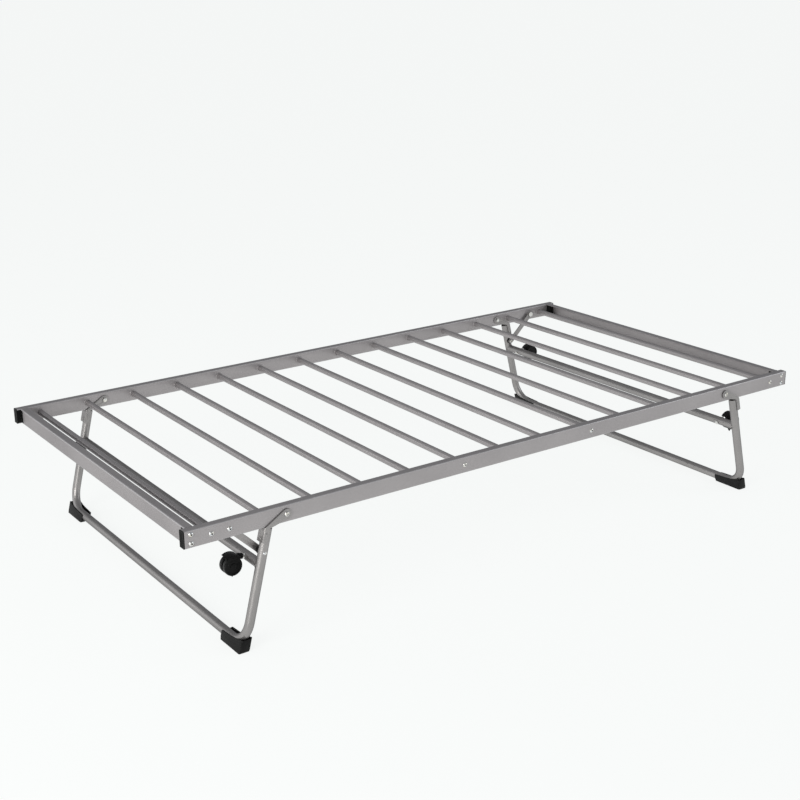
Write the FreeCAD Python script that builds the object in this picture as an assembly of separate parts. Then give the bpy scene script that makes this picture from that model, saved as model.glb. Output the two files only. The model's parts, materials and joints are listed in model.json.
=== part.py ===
import FreeCAD, Part
import math
import os

from FreeCAD import Vector

# Trundle bed: a deck of round slats on two leg frames that fold inwards under the side rails.
# X runs along the bed, Y across it and Z up. The floor is z = 0.

# ---- deck ----
BED_LENGTH = 1900.0
BED_WIDTH = 1000.0
DECK_TOP = 330.0
RAIL_HEIGHT = 40.0
RAIL_WIDTH = 20.0
RAIL_WALL = 1.5
RAIL_MID = DECK_TOP - RAIL_HEIGHT / 2
RAIL_INNER_Y = BED_WIDTH / 2 - RAIL_WIDTH
RAIL_CENTRE_Y = BED_WIDTH / 2 - RAIL_WIDTH / 2

END_RAIL_DEPTH = 20.0
END_RAIL_WALL = 2.0
END_RAIL_INSET = 12.0
END_RAIL_X = BED_LENGTH / 2 - END_RAIL_INSET
WEB_NOTCH = 14.0

SLAT_COUNT = 14
SLAT_PITCH = 136.0
SLAT_RADIUS = 8.0
SLAT_WALL = 1.2
SLAT_END_Y = 497.0
BOLTED_SLATS = (1, 6, 9, 14)

COLLAR_RADIUS = 10.5
COLLAR_HOLE_RADIUS = 9.0
COLLAR_FLANGE = 1.5

CAP_WALL = 2.5
CAP_PLUG_LENGTH = 9.0

END_BOLT_X = BED_LENGTH / 2 - 18.0
END_BOLT_RISE = 10.5
BLOCK_LENGTH = 16.0
BOLT_RADIUS = 3.0
BOLT_HEAD_RADIUS = 6.0
BOLT_HEAD_HEIGHT = 3.2
RAIL_CORNER = 2.0
END_RAIL_FOLD = 3.0

# ---- leg frames, drawn upright about the pivot and then splayed ----
PIVOT_X = 700.0
SPLAY_DEG = 14.0
LEG_OFFSET = 36.0
LEG_RADIUS = 11.0
LEG_WALL = 1.5
LEG_TOP = -35.0
LEG_BAR = -314.0
LEG_BEND = 58.0

CROSS_BAR_Z = -121.0
PIVOT_PIN_RADIUS = 5.0
PIVOT_HEAD_RADIUS = 6.2
PIVOT_HEAD_HEIGHT = 3.4
PIVOT_NUT_HEIGHT = 4.0
PIVOT_SIDE_PLAY = 0.3
FIT_CLEARANCE = 0.05

BRACKET_GAP = 1.0
BRACKET_PLATE = 2.5
BRACKET_EYE = 12.0
BRACKET_TOP = -33.4
BRACKET_BOTTOM = -68.0
BRACKET_INBOARD = LEG_OFFSET + 1.0
BRACKET_OUTBOARD = LEG_OFFSET + LEG_RADIUS + BRACKET_PLATE
RIVET_RADIUS = 2.5
RIVET_HEAD_RADIUS = 4.0
RIVET_HEAD_HEIGHT = 1.4
RIVET_X = LEG_OFFSET + 6.0
RIVET_Z = -48.0
WEB_RIVET_Z = -60.0

SHOE_HALF_WIDTH = LEG_RADIUS + 2.4
SHOE_INNER_Y = 400.0
SHOE_OUTER_Y = 492.0
SHOE_SOLE = 22.0
SHOE_HEIGHT = 18.5

# ---- stays ----
STAY_PIVOT_Z = -91.5
STAY_STUD_X = 840.0
STAY_WIDTH = 16.0
STAY_THICKNESS = 3.0
STAY_FACE_Y = 474.0
STAY_SLOT_CLEARANCE = 0.2
STAY_TIP = 12.0
STUD_RADIUS = 4.0
STUD_HEAD_RADIUS = 8.0
STUD_PLAY = 0.4
STUD_HEAD_THICKNESS = 2.5
STAY_SLOT_DEG = 14.0
STAY_CORNER = 3.0
STAY_PIN_RADIUS = 3.5
STAY_PIN_HEAD = 4.5
STAY_KEEPER_RADIUS = 6.0
STAY_KEEPER_THICKNESS = 3.0
STAY_SPACER_RADIUS = 9.0
STAY_SIDE_PLAY = 0.3

# ---- casters ----
CASTER_Y = 434.0
STEM_RADIUS = 4.0
STEM_COLLAR_RADIUS = 7.0
STEM_NUT_RADIUS = 5.5
STEM_NUT_THICKNESS = 3.5
WHEEL_RADIUS = 22.5
WHEEL_THICKNESS = 11.0
WHEEL_GAP = 5.0
CASTER_REACH = 40.0
CASTER_TRAIL = 20.0
WHEEL_EDGE = 1.5
WHEEL_RIM = 6.0
HOOD_RADIUS = 26.5
HOOD_CLEARANCE = 1.3
HOOD_HALF_WIDTH = 15.5
HOOD_CHEEK = 1.6
HOOD_EDGE = 1.0
CHEEK_EDGE = 19.0
CHEEK_RISE = 3.0
BRIDGE_HALF = 5.0
SPINE_THICKNESS = 4.0
SPINE_RADIUS = 19.0
TAIL_TIP = (-9.0, -29.0)
TAIL_ROOTS = ((8.0, -16.5), (-17.5, -6.0))
BOSS_RADIUS = 7.0
BOSS_START = LEG_OFFSET + LEG_RADIUS + 5.0
BOSS_END = LEG_OFFSET + LEG_RADIUS + 17.0
STEM_END = BOSS_END - 5.0
AXLE_RADIUS = 3.0
AXLE_CAP_RADIUS = 7.0
AXLE_CAP_STANDOFF = 0.3
AXLE_CAP_THICKNESS = 1.5

X_AXIS = Vector(1, 0, 0)
Y_AXIS = Vector(0, 1, 0)
Z_AXIS = Vector(0, 0, 1)
ORIGIN = Vector(0, 0, 0)


def box(x0, x1, y0, y1, z0, z1):
    return Part.makeBox(x1 - x0, y1 - y0, z1 - z0, Vector(x0, y0, z0))


def rod(radius, start, end):
    along = end.sub(start)
    return Part.makeCylinder(radius, along.Length, start, along)


def rod_y(radius, x, z, y0, y1):
    return rod(radius, Vector(x, y0, z), Vector(x, y1, z))


def dome_y(x, z, y, side, radius, height):
    """Domed bolt head on a face whose outward normal is side * Y."""
    ball = (radius * radius + height * height) / (2 * height)
    sphere = Part.makeSphere(ball, Vector(x, y + side * (height - ball), z))
    reach = 2 * radius
    low_y, high_y = sorted((y, y + side * reach))
    return sphere.common(box(x - reach, x + reach, low_y, high_y, z - reach, z + reach))


def fuse(shapes):
    first = shapes[0]
    if len(shapes) == 1:
        return first
    return first.fuse(shapes[1:]).removeSplitter()


def group(shapes):
    return Part.makeCompound(shapes)


def mirror_x(shape):
    return shape.mirror(ORIGIN, X_AXIS)


def mirror_y(shape):
    return shape.mirror(ORIGIN, Y_AXIS)


def half_turn(shape):
    """The shape turned half way round the bed: right rear becomes left front."""
    return mirror_x(mirror_y(shape))


def front_and_rear(shape):
    """The shape drawn for the rear (+Y) side, with its mirror image at the front."""
    return [mirror_y(shape), shape]


def four_corners(shape):
    """The shape drawn for the right rear corner, repeated at all four corners."""
    rear = [shape, mirror_x(shape)]
    return rear + [mirror_y(piece) for piece in rear]


def slat_x(number):
    return (number - 1 - (SLAT_COUNT - 1) / 2) * SLAT_PITCH


# ---------------------------------------------------------------- deck

def rear_side_rail():
    half = BED_LENGTH / 2
    outer_y = BED_WIDTH / 2
    low = DECK_TOP - RAIL_HEIGHT
    rail = box(-half + CAP_WALL, half - CAP_WALL, RAIL_INNER_Y, outer_y, low, DECK_TOP)
    long_edges = [e for e in rail.Edges if abs(e.tangentAt(e.FirstParameter).x) > 0.99]
    rail = rail.makeFillet(RAIL_CORNER, long_edges)
    hollow = box(-half, half, RAIL_INNER_Y + RAIL_WALL, outer_y - RAIL_WALL,
                 low + RAIL_WALL, DECK_TOP - RAIL_WALL)
    holes = []
    for number in range(1, SLAT_COUNT + 1):
        x = slat_x(number)
        holes.append(rod_y(COLLAR_HOLE_RADIUS, x, RAIL_MID, RAIL_INNER_Y - 1, RAIL_INNER_Y + 5))
        if number in BOLTED_SLATS:
            holes.append(rod_y(BOLT_RADIUS, x, RAIL_MID, outer_y - 5, outer_y + 1))
    for side in (-1, 1):
        holes.append(rod_y(PIVOT_PIN_RADIUS, side * PIVOT_X, RAIL_MID, RAIL_INNER_Y - 1, outer_y + 1))
        for rise in (-END_BOLT_RISE, END_BOLT_RISE):
            holes.append(rod_y(BOLT_RADIUS, side * END_BOLT_X, RAIL_MID + rise,
                               RAIL_INNER_Y - 1, outer_y + 1))
    holes.append(rod_y(STUD_RADIUS, STAY_STUD_X, RAIL_MID, RAIL_INNER_Y - 1, outer_y + 1))
    return rail.cut([hollow] + holes)


def rail_end_cap():
    """Cap on the right end of the rear rail: a flat face with a plug inside the tube."""
    half = BED_LENGTH / 2
    low = DECK_TOP - RAIL_HEIGHT
    face = box(half - CAP_WALL, half, RAIL_INNER_Y, BED_WIDTH / 2, low, DECK_TOP)
    rim = [e for e in face.Edges if abs(e.tangentAt(e.FirstParameter).x) > 0.99]
    face = face.makeFillet(RAIL_CORNER, rim)
    plug = box(half - CAP_WALL - CAP_PLUG_LENGTH, half - CAP_WALL,
               RAIL_INNER_Y + RAIL_WALL, BED_WIDTH / 2 - RAIL_WALL,
               low + RAIL_WALL, DECK_TOP - RAIL_WALL)
    return fuse([face, plug])


def right_end_rail():
    """Channel open towards the middle of the bed."""
    low = DECK_TOP - RAIL_HEIGHT
    inner_x = END_RAIL_X - END_RAIL_DEPTH
    rail = box(inner_x, END_RAIL_X, -RAIL_INNER_Y, RAIL_INNER_Y, low, DECK_TOP)
    outer_edges = [e for e in rail.Edges
                   if abs(e.tangentAt(e.FirstParameter).y) > 0.99 and e.CenterOfMass.x > END_RAIL_X - 1]
    rail = rail.makeFillet(END_RAIL_FOLD, outer_edges)
    channel = box(inner_x - 1, END_RAIL_X - END_RAIL_WALL, -RAIL_INNER_Y - 1, RAIL_INNER_Y + 1,
                  low + END_RAIL_WALL, DECK_TOP - END_RAIL_WALL)
    notches = [box(END_RAIL_X - END_RAIL_FOLD, END_RAIL_X + 1, side * RAIL_INNER_Y - WEB_NOTCH,
                   side * RAIL_INNER_Y + WEB_NOTCH, low + END_RAIL_FOLD, DECK_TOP - END_RAIL_FOLD)
               for side in (-1, 1)]
    return rail.cut([channel] + notches)


def corner_block():
    """Block inside the channel end that the two end bolts screw into, seen where the web is notched."""
    x1 = END_RAIL_X - END_RAIL_WALL
    low = DECK_TOP - RAIL_HEIGHT
    block = box(END_RAIL_X - END_RAIL_DEPTH + 2, x1, RAIL_INNER_Y - BLOCK_LENGTH, RAIL_INNER_Y,
                low + END_RAIL_WALL, DECK_TOP - END_RAIL_WALL)
    boss = box(x1, END_RAIL_X - 0.3, RAIL_INNER_Y - WEB_NOTCH, RAIL_INNER_Y,
               low + END_RAIL_FOLD, DECK_TOP - END_RAIL_FOLD)
    holes = [rod_y(BOLT_RADIUS, END_BOLT_X, RAIL_MID + rise, RAIL_INNER_Y - BLOCK_LENGTH + 3,
                   RAIL_INNER_Y + 1) for rise in (-END_BOLT_RISE, END_BOLT_RISE)]
    return fuse([block, boss]).cut(holes)


def end_bolt(rise):
    z = RAIL_MID + rise
    head = dome_y(END_BOLT_X, z, BED_WIDTH / 2, 1, BOLT_HEAD_RADIUS, BOLT_HEAD_HEIGHT)
    shank = rod_y(BOLT_RADIUS, END_BOLT_X, z, RAIL_INNER_Y - BLOCK_LENGTH + 3, BED_WIDTH / 2)
    return fuse([head, shank])


def slat(number):
    x = slat_x(number)
    tube = rod_y(SLAT_RADIUS, x, RAIL_MID, -SLAT_END_Y, SLAT_END_Y)
    bore = rod_y(SLAT_RADIUS - SLAT_WALL, x, RAIL_MID, -SLAT_END_Y - 1, SLAT_END_Y + 1)
    return tube.cut(bore)


def slat_plug(x):
    length = 25.0
    plug = rod_y(SLAT_RADIUS - SLAT_WALL, x, RAIL_MID, SLAT_END_Y - length, SLAT_END_Y)
    return plug.cut(rod_y(BOLT_RADIUS, x, RAIL_MID, SLAT_END_Y - 18, SLAT_END_Y + 1))


def slat_bolt(x):
    head = dome_y(x, RAIL_MID, BED_WIDTH / 2, 1, BOLT_HEAD_RADIUS, BOLT_HEAD_HEIGHT)
    shank = rod_y(BOLT_RADIUS, x, RAIL_MID, SLAT_END_Y - 18, BED_WIDTH / 2)
    return fuse([head, shank])


def slat_collar(x):
    flange = rod_y(COLLAR_RADIUS, x, RAIL_MID, RAIL_INNER_Y - COLLAR_FLANGE, RAIL_INNER_Y)
    sleeve = rod_y(COLLAR_HOLE_RADIUS, x, RAIL_MID, RAIL_INNER_Y - COLLAR_FLANGE, RAIL_INNER_Y + 4)
    bore = rod_y(SLAT_RADIUS, x, RAIL_MID, RAIL_INNER_Y - 5, RAIL_INNER_Y + 5)
    return fuse([flange, sleeve]).cut(bore)


def leg_pivot_bolt():
    """Bolt through the side rail, carrying both plates of a leg bracket."""
    outer = BED_WIDTH / 2 + BRACKET_GAP + BRACKET_PLATE + PIVOT_SIDE_PLAY
    inner = RAIL_INNER_Y - BRACKET_GAP - BRACKET_PLATE - PIVOT_SIDE_PLAY
    shank = rod_y(PIVOT_PIN_RADIUS, PIVOT_X, RAIL_MID, inner, outer)
    head = dome_y(PIVOT_X, RAIL_MID, outer, 1, PIVOT_HEAD_RADIUS, PIVOT_HEAD_HEIGHT)
    nut = rod_y(PIVOT_HEAD_RADIUS, PIVOT_X, RAIL_MID, inner - PIVOT_NUT_HEIGHT, inner)
    return fuse([shank, head, nut])


def stay_stud():
    """Stud through the side rail with a flat inner head that keeps the stay on."""
    stay_inner = STAY_FACE_Y - STAY_THICKNESS
    shank = rod_y(STUD_RADIUS, STAY_STUD_X, RAIL_MID, stay_inner - STUD_PLAY, BED_WIDTH / 2)
    keeper = rod_y(STUD_HEAD_RADIUS, STAY_STUD_X, RAIL_MID,
                   stay_inner - STUD_PLAY - STUD_HEAD_THICKNESS, stay_inner - STUD_PLAY)
    shoulder = rod_y(STUD_HEAD_RADIUS - 1, STAY_STUD_X, RAIL_MID, STAY_FACE_Y + STUD_PLAY, RAIL_INNER_Y)
    head = dome_y(STAY_STUD_X, RAIL_MID, BED_WIDTH / 2, 1, BOLT_HEAD_RADIUS, BOLT_HEAD_HEIGHT)
    return fuse([shank, keeper, shoulder, head])


def deck_nodes():
    rear_rail = rear_side_rail()
    end_rail = right_end_rail()
    bolted_x = [slat_x(number) for number in BOLTED_SLATS]
    all_x = [slat_x(number) for number in range(1, SLAT_COUNT + 1)]
    end_bolts = four_corners(end_bolt(-END_BOLT_RISE)) + four_corners(end_bolt(END_BOLT_RISE))
    nodes = {
        "side_rail_rear": rear_rail,
        "side_rail_front": half_turn(rear_rail),
        "end_rail_right": end_rail,
        "end_rail_left": mirror_x(end_rail),
        "rail_end_caps": group(four_corners(rail_end_cap())),
        "corner_blocks": group(four_corners(corner_block())),
        "end_rail_bolts": group(end_bolts),
        "slat_plugs": group([end for x in bolted_x for end in front_and_rear(slat_plug(x))]),
        "slat_bolts": group([end for x in bolted_x for end in front_and_rear(slat_bolt(x))]),
        "slat_collars": group([end for x in all_x for end in front_and_rear(slat_collar(x))]),
        "leg_pivot_bolts": group(four_corners(leg_pivot_bolt())),
        "stay_studs": group([stay_stud(), half_turn(stay_stud())]),
    }
    for number in range(1, SLAT_COUNT + 1):
        nodes["slat_%02d" % number] = slat(number)
    return nodes


# ---------------------------------------------------------------- right leg frame
# Upright drawing: the pivot is the origin, X points outboard and the legs hang along -Z.

def splay(shape):
    """Move a shape from the upright drawing to its place on the right end of the bed."""
    placed = shape.copy()
    placed.rotate(ORIGIN, Y_AXIS, -SPLAY_DEG)
    placed.translate(Vector(PIVOT_X, 0, RAIL_MID))
    return placed


def splayed_point(x, z):
    angle = math.radians(SPLAY_DEG)
    return Vector(PIVOT_X + x * math.cos(angle) - z * math.sin(angle), 0,
                  RAIL_MID + x * math.sin(angle) + z * math.cos(angle))


def leg_path():
    x = LEG_OFFSET
    y = RAIL_CENTRE_Y
    corner = LEG_BEND * (1 - math.sqrt(0.5))
    top = Vector(x, y, LEG_TOP)
    bend_start = Vector(x, y, LEG_BAR + LEG_BEND)
    bend_middle = Vector(x, y - corner, LEG_BAR + corner)
    bend_end = Vector(x, y - LEG_BEND, LEG_BAR)
    rear = [top, bend_start, bend_middle, bend_end]
    front = [Vector(p.x, -p.y, p.z) for p in rear]
    edges = [Part.LineSegment(rear[0], rear[1]).toShape(),
             Part.Arc(rear[1], rear[2], rear[3]).toShape(),
             Part.LineSegment(rear[3], front[3]).toShape(),
             Part.Arc(front[3], front[2], front[1]).toShape(),
             Part.LineSegment(front[1], front[0]).toShape()]
    return Part.Wire(edges)


def bent_rod(radius):
    path = leg_path()
    circle = Part.makeCircle(radius, Vector(LEG_OFFSET, RAIL_CENTRE_Y, LEG_TOP), Z_AXIS)
    return path.makePipeShell([Part.Wire([circle])], True, False)


def leg_tube():
    tube = bent_rod(LEG_RADIUS).cut(bent_rod(LEG_RADIUS - LEG_WALL))
    inner = RAIL_CENTRE_Y - LEG_RADIUS - 2
    outer = RAIL_CENTRE_Y + LEG_RADIUS + 2
    holes = front_and_rear(rod_y(RIVET_RADIUS, RIVET_X, RIVET_Z, inner, outer))
    holes.append(rod_y(STAY_PIN_RADIUS, LEG_OFFSET, STAY_PIVOT_Z, inner, outer))
    for y in (-RAIL_CENTRE_Y, RAIL_CENTRE_Y):
        holes.append(rod(RIVET_RADIUS, Vector(LEG_OFFSET, y, WEB_RIVET_Z),
                         Vector(LEG_OFFSET + LEG_RADIUS + 2, y, WEB_RIVET_Z)))
    return tube.cut(holes)


def cross_bar():
    bar = rod_y(LEG_RADIUS, LEG_OFFSET, CROSS_BAR_Z, -RAIL_CENTRE_Y, RAIL_CENTRE_Y)
    bore = rod_y(LEG_RADIUS - LEG_WALL, LEG_OFFSET, CROSS_BAR_Z, -RAIL_CENTRE_Y, RAIL_CENTRE_Y)
    cuts = [bore]
    for y in (-RAIL_CENTRE_Y, RAIL_CENTRE_Y):
        cuts.append(rod(LEG_RADIUS, Vector(LEG_OFFSET, y, CROSS_BAR_Z - 40),
                        Vector(LEG_OFFSET, y, CROSS_BAR_Z + 40)))
    for y in (-CASTER_Y, CASTER_Y):
        cuts.append(rod(STEM_RADIUS, Vector(0, y, CROSS_BAR_Z), Vector(2 * LEG_OFFSET, y, CROSS_BAR_Z)))
    return bar.cut(cuts)


def plate_outline(grow):
    """Side view of a bracket: an eye round the pivot and a skirt down the leg."""
    radius = BRACKET_EYE + grow
    skirt = [Vector(BRACKET_OUTBOARD, 0, BRACKET_TOP), Vector(BRACKET_OUTBOARD, 0, BRACKET_BOTTOM),
             Vector(BRACKET_INBOARD, 0, BRACKET_BOTTOM), Vector(BRACKET_INBOARD, 0, BRACKET_TOP)]
    upper = tangent_point(skirt[0], radius, 1)
    lower = tangent_point(skirt[3], radius, -1)
    points = [upper] + skirt + [lower]
    edges = [Part.LineSegment(points[i], points[i + 1]).toShape() for i in range(len(points) - 1)]
    edges.append(Part.Arc(lower, Vector(-radius, 0, 0), upper).toShape())
    return Part.Face(Part.Wire(edges))


def tangent_point(outside, radius, side):
    """Where the line from a point outside touches the eye, above (1) or below (-1)."""
    distance = outside.Length
    angle = math.atan2(outside.z, outside.x) + side * math.acos(radius / distance)
    return Vector(radius * math.cos(angle), 0, radius * math.sin(angle))


def rear_bracket():
    """Folded sheet: two plates either side of the rail, joined by a web outboard of the leg."""
    y_in = RAIL_CENTRE_Y - LEG_RADIUS - BRACKET_PLATE
    y_out = RAIL_CENTRE_Y + LEG_RADIUS + BRACKET_PLATE
    solid = plate_outline(0)
    solid.translate(Vector(0, y_in, 0))
    solid = solid.extrude(Vector(0, y_out - y_in, 0))
    folds = [e for e in solid.Edges
             if abs(e.CenterOfMass.x - BRACKET_OUTBOARD) < 0.01
             and abs(e.tangentAt(e.FirstParameter).z) > 0.99]
    solid = solid.makeFillet(BRACKET_PLATE, folds)
    slot = box(-40, BRACKET_OUTBOARD - BRACKET_PLATE, y_in + BRACKET_PLATE, y_out - BRACKET_PLATE, -120, 40)
    above_web = box(-40, BRACKET_OUTBOARD + 1, y_in + BRACKET_PLATE, y_out - BRACKET_PLATE, BRACKET_TOP, 40)
    cuts = [slot, above_web]
    cuts.append(rod_y(PIVOT_PIN_RADIUS + FIT_CLEARANCE, 0, 0, y_in - 1, y_out + 1))
    cuts.append(rod_y(RIVET_RADIUS, RIVET_X, RIVET_Z, y_in - 1, y_out + 1))
    cuts.append(rod(RIVET_RADIUS, Vector(LEG_OFFSET, RAIL_CENTRE_Y, WEB_RIVET_Z),
                    Vector(BRACKET_OUTBOARD + 1, RAIL_CENTRE_Y, WEB_RIVET_Z)))
    return solid.cut(cuts)


def rear_rivets():
    y_in = RAIL_CENTRE_Y - LEG_RADIUS - BRACKET_PLATE
    y_out = RAIL_CENTRE_Y + LEG_RADIUS + BRACKET_PLATE
    heads = [dome_y(RIVET_X, RIVET_Z, y_out, 1, RIVET_HEAD_RADIUS, RIVET_HEAD_HEIGHT),
             dome_y(RIVET_X, RIVET_Z, y_in, -1, RIVET_HEAD_RADIUS, RIVET_HEAD_HEIGHT)]
    through = fuse([rod_y(RIVET_RADIUS, RIVET_X, RIVET_Z, y_in, y_out)] + heads)
    web = fuse([rod(RIVET_RADIUS, Vector(LEG_OFFSET + LEG_RADIUS - 2 * LEG_WALL, RAIL_CENTRE_Y, WEB_RIVET_Z),
                    Vector(BRACKET_OUTBOARD + RIVET_HEAD_HEIGHT, RAIL_CENTRE_Y, WEB_RIVET_Z)),
                rod(RIVET_HEAD_RADIUS, Vector(BRACKET_OUTBOARD, RAIL_CENTRE_Y, WEB_RIVET_Z),
                    Vector(BRACKET_OUTBOARD + RIVET_HEAD_HEIGHT, RAIL_CENTRE_Y, WEB_RIVET_Z))])
    return [through, web]


def rear_shoe():
    """Open-topped boot round the corner of the leg tube, cut flat by the floor."""
    inner = SHOE_INNER_Y
    outer = SHOE_OUTER_Y
    bar = LEG_BAR
    side_view = [(inner + 5, -SHOE_SOLE), (outer - 4, -SHOE_SOLE), (outer, -10), (outer, SHOE_HEIGHT - 2),
                 (outer - 3, SHOE_HEIGHT), (outer - 16, SHOE_HEIGHT - 3), (outer - 32, 12),
                 (outer - 52, 10), (inner + 4, 8), (inner, 5), (inner, -7)]
    x0 = LEG_OFFSET - SHOE_HALF_WIDTH
    points = [Vector(x0, y, bar + z) for y, z in side_view]
    points.append(points[0])
    boot = Part.Face(Part.makePolygon(points)).extrude(Vector(2 * SHOE_HALF_WIDTH, 0, 0))
    tube = bent_rod(LEG_RADIUS)
    slot = box(LEG_OFFSET - LEG_RADIUS, LEG_OFFSET + LEG_RADIUS, SHOE_INNER_Y - 1,
               RAIL_CENTRE_Y - LEG_BEND, bar, bar + 60)
    boot = boot.cut([tube, slot])
    boot = boot.cut(above_bend())
    placed = splay(boot)
    floor = box(PIVOT_X, BED_LENGTH / 2 + 50, 300, 600, -80, 0)
    return placed.cut(floor)


def above_bend():
    """Room over the bend, between the shoe's two walls."""
    y = RAIL_CENTRE_Y
    corner = LEG_BEND * (1 - math.sqrt(0.5))
    arc = Part.Arc(Vector(0, y - LEG_BEND, LEG_BAR), Vector(0, y - corner, LEG_BAR + corner),
                   Vector(0, y, LEG_BAR + LEG_BEND)).toShape()
    closing = [Part.LineSegment(Vector(0, y, LEG_BAR + LEG_BEND), Vector(0, y, LEG_BAR + 90)).toShape(),
               Part.LineSegment(Vector(0, y, LEG_BAR + 90), Vector(0, y - LEG_BEND, LEG_BAR + 90)).toShape(),
               Part.LineSegment(Vector(0, y - LEG_BEND, LEG_BAR + 90),
                                Vector(0, y - LEG_BEND, LEG_BAR)).toShape()]
    face = Part.Face(Part.Wire([arc] + closing))
    face.translate(Vector(LEG_OFFSET - LEG_RADIUS, 0, 0))
    return face.extrude(Vector(2 * LEG_RADIUS, 0, 0))


def rear_stay_pin():
    """Pin through the leg and the stay, with a keeper disc inboard of the stay."""
    keeper_outer = STAY_FACE_Y - STAY_THICKNESS - STAY_SIDE_PLAY
    keeper_inner = keeper_outer - STAY_KEEPER_THICKNESS
    leg_outer = RAIL_CENTRE_Y + LEG_RADIUS
    shank = rod_y(STAY_PIN_RADIUS, LEG_OFFSET, STAY_PIVOT_Z, keeper_outer, leg_outer)
    keeper = rod_y(STAY_KEEPER_RADIUS, LEG_OFFSET, STAY_PIVOT_Z, keeper_inner, keeper_outer)
    head = dome_y(LEG_OFFSET, STAY_PIVOT_Z, leg_outer - 1, 1, STAY_PIN_HEAD, STAY_PIN_HEAD / 2)
    return fuse([shank, keeper, head.cut(stay_pin_leg())])


def stay_pin_leg():
    """The stretch of leg round the stay pin, as a solid to cut with."""
    return rod(LEG_RADIUS, Vector(LEG_OFFSET, RAIL_CENTRE_Y, -60), Vector(LEG_OFFSET, RAIL_CENTRE_Y, -120))


def rear_stay_spacer():
    """Plastic ring on the pin that holds the stay clear of the leg and the bracket."""
    leg_inner = RAIL_CENTRE_Y - LEG_RADIUS
    ring = rod_y(STAY_SPACER_RADIUS, LEG_OFFSET, STAY_PIVOT_Z, STAY_FACE_Y + STAY_SIDE_PLAY, leg_inner + 3)
    bore = rod_y(STAY_PIN_RADIUS, LEG_OFFSET, STAY_PIVOT_Z, STAY_FACE_Y, leg_inner + 4)
    return ring.cut([bore, stay_pin_leg()])


def rear_stay():
    """Flat strip from the leg to the rail, with a slot in its upper end that drops over the stud."""
    low = splayed_point(LEG_OFFSET, STAY_PIVOT_Z)
    high = Vector(STAY_STUD_X, 0, RAIL_MID)
    along = high.sub(low)
    length = along.Length
    half = STAY_WIDTH / 2
    y0 = STAY_FACE_Y - STAY_THICKNESS
    y1 = STAY_FACE_Y
    strip = box(0, length + STAY_TIP, y0, y1, -half, half)
    tip_edges = [e for e in strip.Edges
                 if e.CenterOfMass.x > length + STAY_TIP - 0.1
                 and abs(e.tangentAt(e.FirstParameter).y) > 0.99]
    strip = strip.makeFillet(STAY_CORNER, tip_edges)
    strip = fuse([strip, rod_y(half, 0, 0, y0, y1)])
    slot_half = STUD_RADIUS + STAY_SLOT_CLEARANCE
    slot = fuse([rod_y(slot_half, 0, 0, y0 - 1, y1 + 1),
                 box(0, 3 * STAY_TIP, y0 - 1, y1 + 1, -slot_half, slot_half)])
    slot.rotate(ORIGIN, Y_AXIS, -STAY_SLOT_DEG)
    slot.translate(Vector(length, 0, 0))
    hole = rod_y(STAY_PIN_RADIUS + FIT_CLEARANCE, 0, 0, y0 - 1, y1 + 1)
    strip = strip.cut([slot, hole])
    strip.rotate(ORIGIN, Y_AXIS, -math.degrees(math.atan2(along.z, along.x)))
    strip.translate(low)
    return strip


def hex_nut(across_corners_radius, x0, x1, y, z):
    points = [Vector(x0, y + across_corners_radius * math.cos(math.radians(60 * i)),
                     z + across_corners_radius * math.sin(math.radians(60 * i))) for i in range(7)]
    return Part.Face(Part.makePolygon(points)).extrude(Vector(x1 - x0, 0, 0))


def rear_caster_stem():
    """Stem through the cross bar, with a collar outboard and a nut inboard."""
    outboard = LEG_OFFSET + LEG_RADIUS
    inboard = LEG_OFFSET - LEG_RADIUS
    stem = rod(STEM_RADIUS, Vector(inboard - STEM_NUT_THICKNESS - 1.5, CASTER_Y, CROSS_BAR_Z),
               Vector(STEM_END, CASTER_Y, CROSS_BAR_Z))
    nut = hex_nut(STEM_NUT_RADIUS, inboard - STEM_NUT_THICKNESS, inboard + 2, CASTER_Y, CROSS_BAR_Z)
    collar = hex_nut(STEM_COLLAR_RADIUS, outboard - 2, BOSS_START - 0.3, CASTER_Y, CROSS_BAR_Z)
    bar = rod_y(LEG_RADIUS, LEG_OFFSET, CROSS_BAR_Z, CASTER_Y - 30, CASTER_Y + 30)
    return fuse([stem, nut.cut(bar), collar.cut(bar)])


def axle_centre():
    return Vector(LEG_OFFSET + CASTER_REACH, CASTER_Y, CROSS_BAR_Z - CASTER_TRAIL)


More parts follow.
